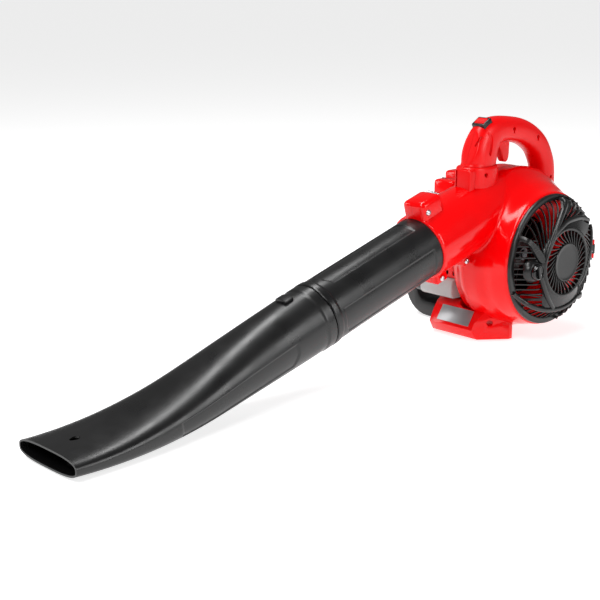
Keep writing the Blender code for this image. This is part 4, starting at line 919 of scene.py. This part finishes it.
handle = {
    # behind the fan axis, height, half depth, half width: pillar, grip, rear post
    "path": ((-80, 262, 30, 19.5), (-78, 285, 31, 21), (-72, 301, 29, 20.5), (-61, 314, 26, 20),
             (-44, 321, 21, 19.5), (-19, 320.5, 19.5, 19.5), (10, 315.5, 19.5, 19.5),
             (36, 305, 19.5, 19.5), (58, 289, 19.5, 19.5), (72, 268, 19.5, 19.5),
             (78, 250, 19.5, 19.5), (80, 215, 19.5, 19.5)),
    "wall": 3, "voxel": 1.15, "melt": 8,
}
switchPlace = at(0, -75.5, 335.5)
switchOut = Vector((0, -0.5, 0.866))
switchAlong = Vector((0, 0.866, 0.5))
triggerPivot = at(0, -38, 314)


def squircle(centre, across, rise, halfWidth, halfHeight, angle, power=2.3):
    c, s = math.cos(angle), math.sin(angle)
    return centre + across * math.copysign(abs(c) ** (2 / power), c) * halfWidth * mm \
        + rise * math.copysign(abs(s) ** (2 / power), s) * halfHeight * mm


def handleSkin(name, inset=0.0, reach=0.0, perSpan=4):
    rows = handle["path"]
    middles = curveThrough([at(0, row[0], row[1]) for row in rows], perSpan)
    sizes = curveThrough([Vector((row[2], row[3], 0)) for row in rows], perSpan)
    last = len(middles) - 1

    def place(u, v):
        i = round(u * last)
        way = (middles[min(i + 1, last)] - middles[max(i - 1, 0)]).normalized()
        if i == 0:
            way = up
        if i == last:
            way = -up
        centre = middles[i]
        if i in (0, last):
            centre = centre + way * (reach if i else -reach) * mm
        return squircle(centre, right, right.cross(way), sizes[i].y - inset, sizes[i].x - inset, v * math.tau)

    return bentGrid(name, last, 72, place)


def onSwitch(piece):
    turn = Matrix(((1, 0, 0, 0), (0, switchAlong.y, switchOut.y, 0), (0, switchAlong.z, switchOut.z, 0),
                   (0, 0, 0, 1)))
    turn.translation = switchPlace
    piece.data.transform(turn)
    return facesOut(piece)


def switchSlab(name, halfX, halfAlong, low, high, edge=0.0):
    return onSwitch(slab(name, Vector((-halfX, -halfAlong, low)) * mm, Vector((halfX, halfAlong, high)) * mm, edge))


def pipe(name, points, radius, sides=16):
    # a closed round bar through points
    points = [Vector(p) for p in points]

    def place(u, v):
        spot = along(points, u)
        ahead = (along(points, min(1, u + 0.03)) - along(points, max(0, u - 0.03))).normalized()
        side = ahead.cross(right if abs(ahead.x) < 0.8 else up).normalized()
        rise = side.cross(ahead)
        return spot + (side * math.cos(v * math.tau) + rise * math.sin(v * math.tau)) * radius * mm

    return bentGrid(name, max(4, 2 * len(points)), sides, place)


def cablePoints():
    return curveThrough([at(*p) for p in (
        (-11, -52, 306), (-11, -64, 290), (-13, -70, 272), (-18, -69, 265), (-27, -67, 263), (-40, -63, 261),
        (-50, -56, 252), (-56, -46, 235), (-60, -43, 214))], 4)


def makeHandle():
    h = handle
    shell = handleSkin("handle")
    # the pillar's front is one slanting face, and its foot is a shallow step
    front = slab("frontTrim", (-0.06, -0.04, -0.1), (0.06, 0, 0.1), 0)
    front.data.transform(Matrix.Translation(at(0, -103.5, 290)) @ Matrix.Rotation(math.radians(-21), 4, "X"))
    cut(shell, front)
    step = bentGrid("pillarStep", 6, 72, lambda u, v: squircle(
        at(0, -81, 262 + 12 * u), right, back, 21.2 - 0.8 * u, 31.2 - 0.8 * u, v * math.tau))
    unite(shell, step)
    melt = shell.modifiers.new("blend", "REMESH")
    melt.mode = "VOXEL"
    melt.voxel_size = h["voxel"] * mm
    melt.use_smooth_shade = True
    soften = shell.modifiers.new("soften", "SMOOTH")
    soften.factor = 0.5
    soften.iterations = h["melt"]
    applyAll(shell)
    hollow = handleSkin("handleHollow", h["wall"] + 1.5, 5)
    room = slab("roomTrim", (-0.06, -0.04, -0.1), (0.06, (h["wall"] + 2.5) * mm, 0.1), 0)
    room.data.transform(Matrix.Translation(at(0, -103.5, 290)) @ Matrix.Rotation(math.radians(-21), 4, "X"))
    cut(hollow, room)
    cut(
        shell,
        hollow,
        slab("triggerSlot", at(-6.8, -51, 265), at(6.8, -2, 310), 0),
        switchSlab("switchHole", 12.3, 10.3, -16, 8),
        voluteSkin("footTrim", -0.6),
        pipe("cableHole", cablePoints(), 3.2),
        # two slots in the pillar's front
        pipe("frontSlot", [at(12.4, -90.6, 316.5), at(11, -94.6, 308.5), at(8.8, -98, 301.5)], 2.3),
        pipe("cornerSlot", curveThrough([at(17.8, -84, 327), at(19, -77.5, 319), at(19.4, -75, 309),
                                         at(19.9, -76, 298), at(19.9, -79, 288)], 4), 2.9),
    )
    for y, z in ((-20, 322), (40.5, 304.5)):
        cut(shell, peg("screwHole", at(12, y, z), at(30, y, z), 2.4, 24),
            peg("screwMouth", at(16.8, y, z), at(24, y, z), 3.1, 32, 4.0),
            slab("screwRelief", at(17, y - 1.6, z - 6.5), at(24, y + 1.6, z), 0.6))
    cut(shell, peg("lowHole", at(15, 78, 238.5), at(30, 78, 238.5), 2.8, 24))
    finishPiece(half(shell, "handleRight", 1), "red_satin", nodes=["handle_right"], shade=42)
    finishPiece(half(shell, "handleLeft", -1), "red_satin", nodes=["handle_left"], shade=42)
    bpy.data.objects.remove(shell)


makeHandle()
print("handle is done")


def makeSwitch():
    bezel = switchSlab("switchBezel", 12, 10, -8, 2.2, 1.6)
    cut(bezel, switchSlab("window", 9.3, 7.3, -12, 10))
    finishPiece(bezel, "black_satin", nodes=["switch_bezel"])
    rocker = switchSlab("switchRocker", 9, 6.4, -4, 3.6, 1.2)
    # the pressed face is a shallow valley
    valley = slab("valley", Vector((-12, -5.2, 3.1)) * mm, Vector((12, 5.2, 9)) * mm, 0.9)
    cut(rocker, onSwitch(valley))
    finishPiece(rocker, "red_satin", "stop_switch", ["switch_rocker"])


makeSwitch()


def makeTrigger():
    outline = [tuple(at(0, y, z).yz) for y, z in (
        (-45, 309), (-43.5, 317), (-38, 320.5), (-31, 318), (-15, 305), (-13.5, 290), (-14.2, 279),
        (-16.5, 273), (-20.5, 270.6), (-25, 272.4), (-29, 279), (-33.5, 289), (-41, 299))]
    ring = curveThrough([Vector((y, z, 0)) for y, z in outline + outline[:1]], 4)[:-1]
    lever = outlined("triggerLever", [(p.x, p.y) for p in ring], -6 * mm, 6 * mm)
    bevelled(lever, 1.4, 3, 60)
    cut(lever, peg("bore", triggerPivot - right * 0.02, triggerPivot + right * 0.02, 2.5, 24))
    finishPiece(lever, "red_satin", "trigger", ["trigger"])


makeTrigger()


def makeCollar():
    rows = ((200, 26, 37), (230, 26.2, 37.2), (248, 26.2, 37.2), (262, 25.6, 36.6), (268.5, 25, 36),
            (270.6, 24.2, 35.2), (271.5, 22.8, 33.8))
    path = [Vector(row) for row in rows]

    def place(u, v):
        z, wide, deep = along(path, u)
        return squircle(at(0, -82, z), right, back, wide, deep, v * math.tau)

    seat = bentGrid("handleCollar", 36, 96, place)
    unite(seat, slab("clip", at(-9, -123.4, 226), at(20.5, -110, 269.3), 2.4))
    cut(
        seat,
        bentGrid("collarRoom", 4, 72, lambda u, v: squircle(at(0, -79.8, 195 + 82 * u), right, back, 21.6, 31.6,
                                                            v * math.tau)),
        slab("clipSlot", at(-6.6, -126, 243), at(-3.6, -115, 268), 0.4),
        neckSkin("collarTrim", -0.6),
        voluteSkin("collarVoluteTrim", -0.6),
        pipe("cableHole", cablePoints(), 3.2),
        peg("collarHole", at(15, -91, 260), at(40, -91, 260), 3.2, 32),
        peg("collarHoleMouth", at(23.6, -91, 260), at(28, -91, 260), 3.0, 32, 4.6),
    )
    finishPiece(seat, "red_satin", nodes=["handle_collar"], shade=38)


makeCollar()
print("switch, trigger and collar are done")


# ---- engine side and feet

def makeShroud():
    shroud = refined("engine_shroud", "engineShroud", 0.8, 50)
    finishPiece(shroud, "red_gloss", nodes=["engine_shroud"])


makeShroud()

edges = {
    # rounding of each outer moulding or casting, in mm
    "base_foot": 2.2, "rating_plate": 0.25, "leg": 3.0, "fuel_tank": 1.2, "engine_cover": 1.2, "filter_cover": 1.2,
    "filter_base": 0.5, "muffler": 1.0, "muffler_guard": 0.6, "starter_housing": 0.8, "crankcase": 0.8,
    "cylinder": 0.4, "carburettor": 0.6, "plug_boot": 0.6, "ignition_coil": 0.8, "choke_lever": 0.4,
    "flywheel": 0.4, "intake_insulator": 0.4,
}
moving = {"starter_grip": ("pull_grip", 1.0), "fuel_cap": ("fuel_cap", 0.8), "impeller": ("rotor", 0.3),
          "starter_pulley": ("pulley", 0.4), "choke_lever": ("choke", 0.3), "flywheel": ("rotor", 0.3),
          "primer_bulb": ("primer", 0.5)}
slots = {part["node"]: part["material_slot"] for part in frame["record"]["subparts"]}


def camel(node):
    words = node.split("_")
    return words[0] + "".join(word.capitalize() for word in words[1:]) + "Finished"


for node, width in edges.items():
    if node not in moving:
        finishPiece(refined(node, camel(node), width), slots[node], nodes=[node])
for node, (body, width) in moving.items():
    finishPiece(refined(node, camel(node), width), slots[node], body, [node])
print("engine side and feet are done")
